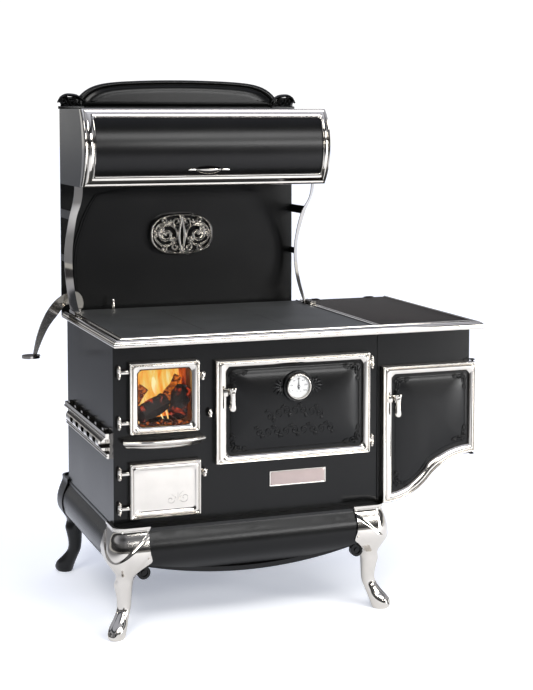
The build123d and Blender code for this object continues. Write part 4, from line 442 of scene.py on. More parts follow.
def side_low(x):
    """Height of the storage door's lower edge, and its slope."""
    x0, x1 = SIDE_DOOR[0] + SIDE_FLAT, SIDE_DOOR[1] - SIDE_FLAT
    half_run, half_rise = (x1 - x0) / 2, (SIDE_RIGHT_LOW - SIDE_DOOR[2]) / 2
    radius = (half_run ** 2 + half_rise ** 2) / (2 * half_rise)
    at_left = x <= x0 + half_run
    run = max(x - x0 if at_left else x1 - x, 0)
    drop = sqrt(radius ** 2 - run ** 2)
    return SIDE_DOOR[2] + radius - drop if at_left else SIDE_RIGHT_LOW - radius + drop, run / drop


def side_row(share, y, radius, step=0, straight=3):
    """Points round the storage door, moved in by a share of its members' widths and by a step."""
    left, right, low, top = SIDE_MEMBERS
    x0, x1 = SIDE_DOOR[0] + share * left + step, SIDE_DOOR[1] - share * right - step
    z1 = SIDE_DOOR[3] - share * top - step
    points = corner(x1 - radius, z1 - radius, radius, 0, straight, straight)
    points += corner(x0 + radius, z1 - radius, radius, 90, straight, straight)
    for i in range(SIDE_CURVE + 1):
        x = x0 + (x1 - x0) * i / SIDE_CURVE
        z, slope = side_low(x)
        points.append((x, min(z + (share * low + step) * hypot(1, slope), z1 - 2 * radius)))
    return [(x, y, z) for x, z in points]


shape = skin([side_row(*step) for step in DOOR_MOULDING], ring=True)
handle_post(shape, *SIDE_POST_AT, 26)
set_piece("side_door_casting", shape, nickel, "side_door", "side_door_frame")


# ---- Door panels: oven and storage ----
# Black enamelled castings that fill the frames: a soft pillow with a raised line round it, leafy
# scrolls in the corners, and on the oven door two garlands under the thermometer.
def volute(x, z, radius, start, sweep, inner=0.2, steps=22, weight=1.0):
    """Spiral stroke that winds in to an eye, as points with a share of the strand's thickness."""
    stroke = []
    for i in range(steps + 1):
        share = i / steps
        reach = radius * (1 - (1 - inner) * share ** 0.85)
        thick = weight * (0.45 + 0.55 * ease(3 * share)) * (1.35 if i > steps - 2 else 1)
        stroke.append((*polar(x, z, reach, start + sweep * share), thick))
    return stroke


# share of a leaf stroke's length, and its thickness there
LEAF_STROKE = ((0.12, 0.5), (0.45, 1.05), (0.75, 1.15), (1, 0.35))


def leaf(x, z, turn, length, lobes=5, spread=120, weight=1.0):
    """Fan of short fat strokes from one point."""
    strokes = []
    for i in range(lobes):
        share = i / (lobes - 1) if lobes > 1 else 0.5
        heading = turn + spread * (share - 0.5)
        reach = length * (0.72 + 0.28 * sin(pi * share))
        strokes.append([(*polar(x, z, reach * k, heading), weight * w) for k, w in LEAF_STROKE])
    return strokes


def flipped(strokes, x=None, z=None):
    """Mirror image of strokes across an upright or a level line."""
    return [[(px if x is None else 2 * x - px, pz if z is None else 2 * z - pz, w) for px, pz, w in stroke]
            for stroke in strokes]


def shifted(strokes, right, up):
    """Strokes moved to another place."""
    return [[(x + right, z + up, w) for x, z, w in stroke] for stroke in strokes]


def cast_on(mesh, curve, place):
    """Adds a curve or lettering to a shape as a mesh, each point where place() puts it."""
    holder = bpy.data.objects.new("pattern", curve)
    data = bpy.data.meshes.new_from_object(holder)
    for vert in data.vertices:
        vert.co = place(*vert.co)
    mesh.from_mesh(data)
    bpy.data.objects.remove(holder)
    bpy.data.curves.remove(curve)
    bpy.data.meshes.remove(data)


def strands(mesh, strokes, thick, surface, flat=0.6):
    """Lays rounded strands on a surface; surface(x, z) gives its depth."""
    curve = bpy.data.curves.new("strands", "CURVE")
    curve.dimensions = "3D"
    curve.bevel_depth = thick
    curve.bevel_resolution = 2
    curve.use_fill_caps = True
    curve.resolution_u = 3
    for stroke in strokes:
        line = curve.splines.new("NURBS" if len(stroke) > 3 else "POLY")
        line.points.add(len(stroke) - 1)
        for point, (x, z, weight) in zip(line.points, stroke):
            point.co = (x, 0, z, 1)
            point.radius = weight
        line.order_u = 3
        line.use_endpoint_u = True
    cast_on(mesh, curve, lambda x, y, z: (x, y * flat + surface(x, z), z))


def raised_line(mesh, row, surface):
    """Thin raised line along a row of points."""
    line = [(x, z, 1.0) for x, y, z in row]
    strands(mesh, [line + line[:1]], 1.5, surface)


def scrollwork(spirals, leaves, stems=()):
    """Strokes of a pattern from the tables of its spirals, leaves and stems."""
    strokes = [volute(*spiral) for spiral in spirals] + list(stems)
    for place in leaves:
        strokes += leaf(*place)
    return strokes


# leafy scrolls of a lower left corner, at a size of 1
CORNER_SPRAY = scrollwork(((0.62, 0.20, 0.22, 200, -430), (0.20, 0.62, 0.22, -110, 430),
                           (1.18, 0.10, 0.13, 190, -330), (0.10, 1.18, 0.13, -100, 330)),
                          ((0.10, 0.10, 45, 0.52, 5, 130, 1.2), (0.84, 0.14, 10, 0.42, 4, 90),
                           (0.14, 0.84, 80, 0.42, 4, 90)))


def corner_spray(x, z, size):
    """The corner scrolls at their place and size."""
    return [[(x + size * px, z + size * pz, w) for px, pz, w in stroke] for stroke in CORNER_SPRAY]


def garland(x, z, half, rise, count, size):
    """Row of small paired scrolls and leaves along an arch."""
    strokes = []
    for i in range(count):
        share = 2 * (i + 0.5) / count - 1
        px, pz = x + half * share, z - rise * share ** 2
        tilt = -degrees(atan2(2 * rise * share, half))
        hand = 1 if i % 2 else -1
        strokes.append(volute(px, pz, size * 0.52, tilt - 90 * hand, 400 * hand))
        strokes += leaf(px + size * 0.45 * hand, pz + size * 0.35, tilt + 60, size * 0.5, 3, 80)
        strokes += leaf(px - size * 0.45 * hand, pz - size * 0.35, tilt - 120, size * 0.5, 3, 80)
    return strokes


def stepped(box, steps):
    """Rows round an upright rectangle; a step is a distance in, a depth and a corner radius."""
    x0, x1, z0, z1 = box
    return [rounded_box(x0 + s, x1 - s, z0 + s, z1 - s, radius, y) for s, y, radius in steps]


OVEN_WINDOW = within(OVEN_DOOR, OVEN_MEMBERS, 1)
OVEN_PILLOW, SIDE_PILLOW = 13, 9
GAUGE_X, GAUGE_Z = 538, 674
# middle of the garlands; height, half width, rise in the middle and number of scrolls of each
GARLAND_X = 530
GARLANDS = ((606, 88, 20, 7), (547, 122, 0, 9))
PANEL_EDGE, PANEL_BACK = -8, -4.2
LINE_IN, LINE_ROUND = 11, 12
# distance in from the window's edge, share of the pillow's rise there, and the corners' radius
PILLOW_STEPS = ((-5.5, 0, 8), (5, 0, 12), (8, 0.02, 14), (11, 0.14, 16), (15, 0.30, 20), (21, 0.45, 24),
                (30, 0.60, 28), (42, 0.74, 32), (58, 0.86, 36), (78, 0.95, 38), (100, 0.99, 20), (116, 1, 7))
PANEL_LAP, PANEL_ROUND = PILLOW_STEPS[0][0], PILLOW_STEPS[0][2]


def oven_depth(x, z):
    """Depth of the oven panel's face."""
    x0, x1, z0, z1 = OVEN_WINDOW
    return PANEL_EDGE - OVEN_PILLOW * read_off(PILLOW_STEPS, min(x - x0, x1 - x, z - z0, z1 - z))


pillow = [(step, PANEL_EDGE - OVEN_PILLOW * share, radius) for step, share, radius in PILLOW_STEPS]
shape = skin(stepped(OVEN_WINDOW, [(PANEL_LAP, PANEL_BACK, PANEL_ROUND)] + pillow))
raised_line(shape, stepped(OVEN_WINDOW, [(LINE_IN, 0, LINE_ROUND)])[0], oven_depth)
x0, x1, z0, z1 = OVEN_WINDOW
sprays = corner_spray(x0 + 8, z0 + 8, 42)
sprays += flipped(sprays, x=(x0 + x1) / 2)
sprays += flipped(sprays, z=(z0 + z1) / 2)
for side, turn in ((-1, 180), (1, 0)):
    sprays += leaf(GAUGE_X + 44 * side, GAUGE_Z, turn, 34, 7, 150, 1.5)
strands(shape, sprays, 2.8, oven_depth, 1.1)
for z, half, rise, count in GARLANDS:
    strands(shape, garland(GARLAND_X, z, half, rise, count, 25), 2.6, oven_depth, 0.9)
set_piece("oven_panel_casting", shape, black_enamel, "oven_door", "oven_door_panel",
          slot="black_enamel", crease=50)


def side_depth(x, z):
    """Depth of the storage panel's face."""
    left, right, low, top = SIDE_MEMBERS
    floor_z, slope = side_low(x)
    inset = min(x - SIDE_DOOR[0] - left, SIDE_DOOR[1] - right - x, SIDE_DOOR[3] - top - z,
                (z - floor_z) / hypot(1, slope) - low)
    return PANEL_EDGE - SIDE_PILLOW * read_off(PILLOW_STEPS, inset)


rows = [side_row(1, PANEL_BACK, PANEL_ROUND, PANEL_LAP, 2)]
rows += [side_row(1, PANEL_EDGE - SIDE_PILLOW * share, min(radius, 22), step, 2)
         for step, share, radius in PILLOW_STEPS[:-2]]
shape = skin(rows)
raised_line(shape, side_row(1, 0, LINE_ROUND, LINE_IN, 2), side_depth)
SPRAY_LEFT, SPRAY_MIDDLE, SPRAY_TOP = 849, 966, 676
FOOT_LEFT, FOOT_RIGHT = 352, 475   # the panel's lower edge rises to the right
sprays = flipped(corner_spray(SPRAY_LEFT, SPRAY_TOP, 36), z=SPRAY_TOP)
sprays += flipped(sprays, x=SPRAY_MIDDLE)
sprays += corner_spray(SPRAY_LEFT, FOOT_LEFT, 36)
sprays += flipped(corner_spray(SPRAY_LEFT, FOOT_RIGHT, 36), x=SPRAY_MIDDLE)
strands(shape, sprays, 2.8, side_depth, 1.1)
set_piece("side_panel_casting", shape, black_enamel, "side_door", "side_door_panel",
          slot="black_enamel", crease=50)


# ---- Ash door and hinges ----
# The ash door is one plated casting with a bead, a sunk field and a light engraved flourish. All
# doors hang on pins with turned finials, held by two lugs each on the front plate.
ASH_DOOR = (42, 250, 325, 484)
ASH_LATCH_AT = (259.5, 446)
ASH_HINGES = (359, 457)
# distance in from the edge, depth, and the corners' radius
ASH_STEPS = ((0, DOOR_BACK, 3), (0, -16.5, 3), (1, -20, 4), (3.5, DOOR_FRONT, 5), (6.5, -21.2, 5.5),
             (8, -18.6, 6), (9.5, -18, 6.5), (11, -19.4, 7), (14, -20.4, 8), (16.5, -19.6, 9),
             (19, -17.2, 10), (21, -16.4, 11), (27, -16.5, 14), (44, -16.8, 18), (62, -17, 14), (76, -17, 2))


def ash_depth(x, z):
    """Depth of the ash door's face."""
    x0, x1, z0, z1 = ASH_DOOR
    return read_off(ASH_STEPS[2:], min(x - x0, x1 - x, z - z0, z1 - z))


shape = skin(stepped(ASH_DOOR, ASH_STEPS))
for z in ASH_HINGES:
    hinge_eye(shape, LEFT_HINGES_AT, z, ASH_DOOR[0])
latch_ear(shape, *ASH_LATCH_AT)
flourish = scrollwork(((200, 378, 19, 100, 480), (160, 374, 15, 80, -430)), ((181, 370, 90, 24, 3, 70),))
strands(shape, flourish, 1.1, ash_depth, 0.7)
set_piece("ash_door_casting", shape, nickel, "ash_door", "ash_door")

# distance from the eye's middle and radius of a finial
FINIAL = ((6.6, 4.6), (7, 6), (7.6, 6.4), (9.8, 6.4), (10.6, 5.6), (10.9, 3.8), (11.8, 3.8), (12.4, 5.2),
          (13.6, 6), (15.2, 5.6), (16.4, 3.8), (16.9, 2.6), (17.8, 2.8), (18.8, 2.2), (19.6, 0))
shape = bmesh.new()
places = [(*LEFT_HINGES_AT, z) for z in FIRE_HINGES + ASH_HINGES]
for x, y, z in places + [(*OVEN_HINGES_AT, z) for z in OVEN_HINGES]:
    for side in (-1, 1):
        turned(shape, (x, y, z), (0, 0, side), ((0, 2.9),) + FINIAL)
        low, high = sorted((z + side * 7.2, z + side * 10.3))
        bar(shape, x - 4, x + 4, y + 2, 0.4, low, high, 0.9)
set_piece("hinge_pins_turned", shape, nickel, "stove", "door_hinge_pins")


# ---- Latches and hanging handles ----
# Turned nickel knobs on short spindles hold the left doors; fishtail drop handles hang on the
# oven and storage doors, and a small knob keeps the oven's.
def latch_mesh(x, z):
    """Bell-shaped knob with a ball under it, on its spindle and tongue."""
    mesh = bmesh.new()
    turned(mesh, (x, -18.5, z), UP, ((-14, 0), (-13.4, 2.4), (-11, 5), (-8, 5.6), (-5.6, 4.4), (-4.6, 3.6),
                                     (-4, 6), (-3, 7.4), (0, 7.6), (3, 7.2), (7, 6), (10.5, 3.8), (12.4, 1.8),
                                     (13, 0)))
    turned(mesh, (x, 0, z), OUTWARD, ((1.4, 0), (1.4, 2.9), (12, 2.9), (15, 4.4), (17, 0)))
    bar(mesh, x - 4, x + 12, -5.6, -1.4, z - 4, z + 4, 0.8)
    return mesh


set_piece("fire_latch_knob", latch_mesh(*FIRE_LATCH_AT), nickel, "fire_latch", "fire_door_latch")
set_piece("ash_latch_knob", latch_mesh(*ASH_LATCH_AT), nickel, "ash_latch", "ash_door_latch")

HANDLE_BACK, HANDLE_FRONT = -35, -44
HANDLE_MIDDLE = -22                # height of its middle, from the post
# half of its outline, from the top down
HANDLE_HALF = [(0, 9.5), (3.5, 10.5), (8.5, 15.5), (11, 14.6), (10.8, 10.5), (9, 5), (7.8, 0), (6.8, -6),
               (6.4, -14), (6.8, -24), (7.8, -33), (9.2, -39), (9.4, -44), (7.6, -48.5), (4.2, -51),
               (0, -51.5)]
# share of the handle's thickness from the middle, and share of its width there
HANDLE_ROUND = ((-1, 0.55), (-0.9, 0.8), (-0.55, 0.97), (0, 1), (0.55, 0.97), (0.9, 0.8), (1, 0.55))


def handle_mesh(x, z):
    """Drop handle: fishtail top, waisted shaft and a round foot."""
    outline = HANDLE_HALF + [(-px, pz) for px, pz in HANDLE_HALF[-2:0:-1]]
    middle, depth = (HANDLE_BACK + HANDLE_FRONT) / 2, (HANDLE_BACK - HANDLE_FRONT) / 2
    mesh = skin([[(x + px * grow, middle + share * depth,
                   z + HANDLE_MIDDLE + (pz - HANDLE_MIDDLE) * (0.92 + 0.08 * grow)) for px, pz in outline]
                 for share, grow in HANDLE_ROUND])
    turned(mesh, (x, HANDLE_FRONT + 0.6, z), OUTWARD, ((0, 5.4), (0.4, 5.4), (0.5, 4.4)))
    return mesh


set_piece("oven_handle_casting", handle_mesh(*OVEN_POST_AT), nickel, "oven_handle", "oven_handle")
set_piece("side_handle_casting", handle_mesh(*SIDE_POST_AT), nickel, "side_handle", "side_handle")

CATCH_X, CATCH_Z = 278, 612
shape = bmesh.new()
turned(shape, (CATCH_X, 0, CATCH_Z), OUTWARD, ((0, 4), (10, 3.6), (12, 0)))
turned(shape, (CATCH_X, -12, CATCH_Z), UP,
       ((-14, 0), (-13.2, 3), (-10.6, 5.6), (-7.6, 5.8), (-5.6, 4.6), (-4.8, 6.8), (-3.4, 7.8), (1, 7.8),
        (6, 6.4), (10.5, 3.8), (13, 0)))
set_piece("oven_catch_knob", shape, nickel, "stove", "oven_catch")


# ---- Thermometer ----
# A black cup on the oven panel with a bright ring, a white dial printed with plain numbers, and a
# loose pointer.
DIAL_FACE, GAUGE_BACK = -29.6, -31
DIAL_START = 210                   # where the scale's 0 stands, in degrees
# how many numbers the scale has, the degrees between them, and the ticks for each
NUMBERS, NUMBER_STEP, TICKS = 7, 40, 8
NUMBERS_AT, TICK_END = 22, 31      # distance from the dial's middle
# distance behind the ring's seat, and radius
CUP = ((12, 45), (1.2, 45), (0.2, 44), (0, 42.5), (1.2, 40), (2.2, 37.6), (2.2, 33.5), (-1, 33.4))
RING = ((2.5, 33.3), (-5.6, 33.2), (-6.8, 33.6), (-7, 34.6), (-6.4, 36), (-4.6, 37.2), (-1.5, 37.8),
        (2.5, 37.8), (2.5, 33.3))
cup = turned(bmesh.new(), (GAUGE_X, GAUGE_BACK, GAUGE_Z), INWARD, CUP, 64)
ring = turned(bmesh.new(), (GAUGE_X, GAUGE_BACK, GAUGE_Z), INWARD, RING, 64)
set_piece("thermometer_cup", cup, black_enamel, "oven_door", slot="black_enamel")
set_piece("thermometer_ring", ring, nickel, "oven_door", "thermometer_case")

dial_white = enamel("dial_white", (0.86, 0.86, 0.84), 0.35, 0.0, 0.4)
dress(dial_white, "thermometer_dial")
ink = enamel("dial_ink", (0.02, 0.02, 0.022), 0.5, 0.0, 0.3)
dress(ink, "thermometer_pointer")


def printed(mesh, words, x, z, height):
    """Flat lettering on the dial."""
    text = bpy.data.curves.new("print", "FONT")
    text.body = words
    text.size = height
    text.align_x, text.align_y = "CENTER", "CENTER"
    text.extrude = 0.05
    cast_on(mesh, text, lambda across, up, out: (x + across, DIAL_FACE - out, z + up))


shape = bmesh.new()
for i in range(NUMBERS):
    printed(shape, str(100 * i), *polar(GAUGE_X, GAUGE_Z, NUMBERS_AT, DIAL_START - NUMBER_STEP * i), 6.5)
ticks = []
for i in range((NUMBERS - 1) * TICKS + 1):
    near = 27 if i % TICKS == 0 else 28.6
    turn = DIAL_START - NUMBER_STEP / TICKS * i
    ticks.append([(*polar(GAUGE_X, GAUGE_Z, reach, turn), 1.0) for reach in (near, TICK_END)])
for side in (-1, 1):
    ticks.append(volute(GAUGE_X + 5 * side, GAUGE_Z - 14, 4, 90 + 30 * side, -380 * side))
strands(shape, ticks, 0.35, lambda x, z: DIAL_FACE, 0.4)
set_piece("thermometer_print", shape, ink, "oven_door", slot="dial")


# ---- Name plate and hearth lip ----
# A small plated shield, left bare, with a bright rim on the front under the oven door; and the bowed
# shelf under the fire door, a plated casting with a rolled edge.
NAME_PLATE = (459, 633, 383, 428)
satin_plate = plated("satin_plate", (0.36, 0.295, 0.275), 0.30, 0.25)
# distance in from the edge, depth, and the corners' radius
PLATE_RIM = ((0, 0, 2), (0, -2.2, 2), (0.6, -3.3, 2.2), (1.8, -3.5, 2.6), (3, -3.2, 3), (3.8, -2.3, 3))
PLATE_FIELD = ((3.6, -2.2, 3), (3.9, -2.5, 3), (8, -2.7, 5), (16, -2.9, 5))
set_piece("name_plate_rim", skin(stepped(NAME_PLATE, PLATE_RIM)), nickel, "stove", "name_plate")
set_piece("name_plate_field", skin(stepped(NAME_PLATE, PLATE_FIELD)), satin_plate, "stove",
          slot="plate_metal")

LIP = (20, 258)
LIP_FRONT, LIP_ENDS = -58, -32
LIP_POINTS = 24                    # steps along the bow
# distance in from the shelf's edge, and height
LIP_STEPS = ((6, 552), (2.5, 551.6), (0.8, 550), (0, 547.5), (0.4, 544.5), (2, 542), (4, 541), (4.6, 539.6),
             (6, 538.4), (8.4, 537), (9.6, 534.5), (11, 531.5), (13.5, 529), (17, 528))


def lip_row(step, z):
    """Points round the shelf in plan, moved in by a step."""
    x0, x1 = LIP[0] + step, LIP[1] - step
    points = [(x1, 0, z)] + [(x1, (LIP_ENDS + step) * i / 3, z) for i in (1, 2)]
    for i in range(LIP_POINTS + 1):
        share = 1 - 2 * i / LIP_POINTS
        y = LIP_FRONT + step + (LIP_ENDS - LIP_FRONT) * abs(share) ** 2.4
        points.append(((x0 + x1) / 2 + (x1 - x0) / 2 * share, y, z))
    return points + [(x0, (LIP_ENDS + step) * i / 3, z) for i in (2, 1)] + [(x0, 0, z)]


set_piece("hearth_shelf", skin([lip_row(step, z) for step, z in LIP_STEPS]), nickel, "stove", "hearth_lip")


# ---- Cooktop: plates, rails and strip ----
# Machined iron plates lie in a frame; plated rails with a bead and a quirk run round three sides,
# mitred at the front, and a beaded strip parts the plates from the enamelled lid.
def iron(name, colour, roughness, pit, gleam=0.4, metal=0.2):
    """Grey iron with a fine pitted grain and a cloudy tone."""
    return finish(name, {"Metallic": metal, "Roughness": roughness, "Specular IOR Level": gleam},
                  {"Scale": 9, "Detail": 6}, shades(colour, 0.3, 0.8, 0.7, 1.2), (pit, 0.0005),
                  grain={"Scale": 500})


cook_iron = iron("cook_iron", (0.052, 0.054, 0.053), 0.5, 0.12)
dress(cook_iron, "cook_plate_left", "cook_plates")
lid_enamel = enamel("lid_enamel", (0.012, 0.0085, 0.0075), 0.16, 0.03, 0.012)
dress(lid_enamel, "reservoir_lid")

COOK_TOP, COOK_BACK = 834, 632
RAIL_LEFT, RAIL_RIGHT, RAIL_FRONT = 27, 1101.5, -4
# distance out from the rail's inner edge, and height
RAIL = ((0, 812), (0, 835.4), (0.8, 836.6), (2.6, 837), (5, 836.6), (6.6, 835), (7.4, 832.4), (8.6, 831.6),
        (9.8, 832.8), (12, 833.8), (17, 833.6), (22, 831.8), (26, 828.6), (27.4, 826), (28, 823.6),
        (28.8, 823.2), (30.2, 823.4), (31.5, 821.6), (32, 819), (31.6, 816), (30.4, 813.4), (28.6, 812))
# the strip's section in x and z
STRIP = ((783, 824), (783, 835), (783.8, 836.5), (785.6, 837), (787.6, 836.4), (788.8, 834.6), (790, 834.1),
         (796, 834.1), (797.2, 834.6), (798.4, 836.4), (800.4, 837), (802.2, 836.5), (803, 835), (803, 824))
shape = skin([[(RAIL_LEFT - out, COOK_BACK, z) for out, z in RAIL],
              [(RAIL_LEFT - out, RAIL_FRONT - out, z) for out, z in RAIL],
              [(RAIL_RIGHT + out, RAIL_FRONT - out, z) for out, z in RAIL],
              [(RAIL_RIGHT + out, COOK_BACK, z) for out, z in RAIL]])
skin([[(x, y, z) for x, z in STRIP] for y in (RAIL_FRONT, COOK_BACK)], shape)
set_piece("cooktop_rail_mouldings", shape, nickel, "stove", "cooktop_rails", crease=32)

DAMPER_X, DAMPER_Y = 159, 620
post = turned(bmesh.new(), (DAMPER_X, DAMPER_Y, COOK_TOP), UP,
              ((-150, 0), (-150, 3.9), (0.3, 3.9), (0.3, 8), (1.6, 8), (2.4, 5.6), (3, 5), (31, 5),
               (32.4, 4), (33, 0)))
# the gate across the flue
bar(post, DAMPER_X - 38, DAMPER_X + 38, DAMPER_Y - 6, DAMPER_Y + 6, 662, 727, 1)
set_piece("damper_post", post, nickel, "damper", "damper")


# ---- Reservoir, oven and fire castings ----
# The tank, ash pan and oven rack are galvanised; the oven is lined with grey enamel; the firebox has
# raw iron castings and buff firebrick.
galvanised = iron("galvanised", (0.42, 0.43, 0.44), 0.42, 0.3, 0.5, 0.9)
dress(galvanised, "reservoir_tank", "ash_pan", "oven_rack")
oven_enamel = enamel("oven_enamel", (0.05, 0.05, 0.055), 0.35, 0.1, 0.3)
dress(oven_enamel, "oven_box")
raw_iron = iron("raw_iron", (0.05, 0.045, 0.04), 0.7, 0.5)
dress(raw_iron, "grate_frame", "rocking_grate", "firebox_wall", "ash_floor", "glass_clips")
brick = iron("brick", (0.42, 0.30, 0.18), 0.9, 0.9, 0.2, 0)
dress(brick, "fire_bricks")
dress(nickel, "leg_screws", "draft_housing", "draft_shutter", "swing_arm", "closet_brackets")

# smoked glass of the fire door, and the clear one of the thermometer
GLASS_LOOK = {"Base Color": (0.02, 0.02, 0.02, 1), "Roughness": 0.03, "Specular IOR Level": 0.4}
glass, tree, sockets, place = bare_finish("glass", GLASS_LOOK)
smoke = wired(tree, "TexNoise", {"Scale": 18}, {"Vector": place})["Fac"]
film = wired(tree, "MapRange", {"To Min": 0.05, "To Max": 0.13}, {"Value": smoke})["Result"]
tree.links.new(film, sockets["Alpha"])
dress(glass, "fire_door_glass", "thermometer_glass")


# ---- Fire: logs, embers and flames ----
# Split logs lie charred on the grate's front bar over a bed of coals, and tall flames stand behind
# them. Everything here glows by itself and hangs on the stove's body.
FIRE_LOW, FIRE_HIGH = 592, 765
FIRE_X = (37, 245)


def glowing(name, dark, bright, strength, scale, stretch, low=0.4, high=0.66):
    """Charred wood or flame: two tones over stretched noise, that also light up."""
    look = {"Roughness": 0.9, "Base Color": (0.012, 0.008, 0.006, 1), "Emission Strength": strength}
    return finish(name, look, {"Scale": scale, "Detail": 6, "Distortion": 0.6}, ((low, dark), (high, bright)),
                  (0.8, 0.003), tint="Emission Color", stretch=stretch)


HEART_AT, HEART_SIZE = (150, 70, 690), (0.10, 1.0, 0.17)
FLAME_TONES = ((0.36, (0.02, 0.001, 0.0)), (0.5, (0.22, 0.012, 0.004)), (0.6, (0.72, 0.12, 0.01)),
               (0.72, (1.0, 0.33, 0.03)), (0.84, (1.0, 0.62, 0.13)), (0.94, (1.0, 0.88, 0.45)),
               (1.0, (1.0, 0.98, 0.85)))


def flame_glow():
    """The fire's back sheet: upright streaks, white hot in the middle and red at the sides."""
    look = {"Base Color": (0, 0, 0, 1), "Roughness": 1, "Emission Strength": 1.05}
    material, tree, sockets, place = bare_finish("flame_glow", look)
    streak = wired(tree, "Mapping", {"Scale": (1, 1, 0.22)}, {"Vector": place})["Vector"]
    broad = wired(tree, "TexNoise", {"Scale": 34, "Detail": 5, "Distortion": 0.9}, {"Vector": streak})["Fac"]
    heart = wired(tree, "Mapping", {"Location": TO_FRAME @ Vector(HEART_AT), "Scale": HEART_SIZE},
                  {"Vector": place}, vector_type="TEXTURE")["Vector"]
    ball = wired(tree, "TexGradient", {}, {"Vector": heart}, gradient_type="SPHERICAL")["Fac"]
    heat = wired(tree, "Math", {1: 0.47}, {0: ball, 2: broad}, operation="MULTIPLY_ADD")["Value"]
    tree.links.new(toned(tree, heat, FLAME_TONES), sockets["Emission Color"])
    return material


LOG_SIDES, LOG_ROWS = 18, 13


def log_mesh(mesh, start, end, radius, seed):
    """Split log between two points, lumpy, with a flat sawn face at each end."""
    dice = random.Random(seed)
    start, end = Vector(start), Vector(end)
    run = (end - start).normalized()
    side = run.orthogonal().normalized()
    up = run.cross(side)
    lumps = [dice.uniform(0.82, 1.1) for i in range(LOG_SIDES)]
    rows = []
    for i in range(LOG_ROWS):
        share = i / (LOG_ROWS - 1)
        swell = 1 + 0.06 * sin(9 * share + seed)
        row = []
        for k, lump in enumerate(lumps):
            turn = tau * k / LOG_SIDES
            reach = radius * lump * swell * dice.uniform(0.95, 1.05)
            row.append(start.lerp(end, share) + (side * cos(turn) + up * sin(turn)) * reach)
        rows.append(row)
    skin(rows, mesh)


char = glowing("charred_bark", (0.0, 0.0, 0.0), (0.75, 0.06, 0.01), 1.0, 46, (1, 1, 1), 0.55, 0.74)
hot_wood = glowing("hot_wood", (0.07, 0.005, 0.001), (1.0, 0.24, 0.02), 0.9, 70, (1, 1, 1.6), 0.42, 0.68)
coals = glowing("coals", (0.03, 0.003, 0.001), (1.0, 0.22, 0.03), 0.9, 75, (1, 1, 1), 0.5, 0.7)
# both ends, radius and seed of each log
CHARRED_LOGS = (((84, 32, 612), (168, 70, 640), 25, 3), ((196, 30, 607), (226, 82, 668), 27, 8))
HOT_LOGS = (((66, 80, 618), (112, 96, 676), 17, 5), ((176, 88, 640), (214, 100, 704), 14, 6),
            ((156, 66, 612), (176, 78, 664), 9, 9))
for name, logs, wood in (("fire_logs_charred", CHARRED_LOGS, char), ("fire_logs_hot", HOT_LOGS, hot_wood)):
    shape = bmesh.new()
    for split in logs:
        log_mesh(shape, *split)
    set_piece(name, shape, wood, "stove", slot="brick", crease=60)

EMBERS = 90
dice = random.Random(11)
shape = bmesh.new()
for i in range(EMBERS):
    size = dice.uniform(5, 11)
    x, y = dice.uniform(46, 238), dice.uniform(14, 58)
    lump = bmesh.ops.create_icosphere(shape, subdivisions=1, radius=size)["verts"]
    for vert in lump:
        vert.co *= dice.uniform(0.75, 1.1)
    bmesh.ops.translate(shape, vec=(x, y, dice.uniform(558, 584)), verts=lump)
set_piece("ember_bed", shape, coals, "stove", slot="brick", crease=20)

SHEET_STEPS = 24
rows = []
for i in range(SHEET_STEPS + 1):
    share = i / SHEET_STEPS
    x = FIRE_X[0] + (FIRE_X[1] - FIRE_X[0]) * share
    rows.append([(x, 112 - 26 * sin(pi * share) + 5 * sin(11 * share + z / 25), z)
                 for z in range(FIRE_LOW, FIRE_HIGH + 1, 8)])
set_piece("flame_sheet", skin(rows, closed=False), flame_glow(), "stove", slot="brick", crease=80)

TONGUE_ROWS, TONGUE_SIDES = 14, 10


def tongue(mesh, x, y, z, height, width, lean, bend):
    """One flame: a thin leaf that sways as it rises to a point."""
    turns = [tau * k / TONGUE_SIDES for k in range(TONGUE_SIDES)]
    rows = []
    for i in range(TONGUE_ROWS + 1):
        share = i / TONGUE_ROWS
        fat = width * sin(pi * (0.12 + 0.88 * share) ** 0.75) ** 1.3 + 0.15
        cx = x + lean * share + bend * sin(3.6 * share)
        rows.append([(cx + fat * cos(turn), y + 0.45 * fat * sin(turn), z + height * share)
                     for turn in turns])
    skin(rows, mesh)


# foot, height, half width, lean and sway of each flame
FLAMES = ((100, 104, 626, 105, 7, 8, 5), (128, 98, 640, 118, 9, -4, 6), (148, 92, 632, 122, 8, -2, -5),
          (165, 96, 628, 108, 7, 10, -7), (186, 84, 618, 72, 4, 16, 5), (118, 72, 612, 50, 3, -10, 4),
          (176, 62, 588, 62, 3, -22, 3), (160, 58, 590, 52, 2.4, -14, -3), (84, 60, 574, 44, 6, -12, 6),
          (204, 104, 660, 92, 6, 12, 6))
flame_tongue = glowing("flame_tongue", (1.0, 0.36, 0.03), (1.0, 0.86, 0.42), 1.15, 40, (1, 1, 0.25),
                       0.35, 0.6)
shape = bmesh.new()
for flame in FLAMES:
    tongue(shape, *flame)
set_piece("flame_tongues", shape, flame_tongue, "stove", slot="brick", crease=80)


# ---- Warming closet front ----
# One plated casting bent to the closet's curve: beaded rails and stiles round the door opening, with
# a flat cheek at each end. The door's cup pull is a plated half shell with two screw tabs.
CLOSET = (7, 788, 1232, 1467)
CLOSET_MEMBERS = (35, 25)          # widths of the left and right stiles
WINDOW_LOW, WINDOW_HIGH = 1265, 1441
AXIS_Y, AXIS_Z = 507, 1349.5
CLOSET_RADIUS, CLOSET_DOOR_RADIUS = 164, 161
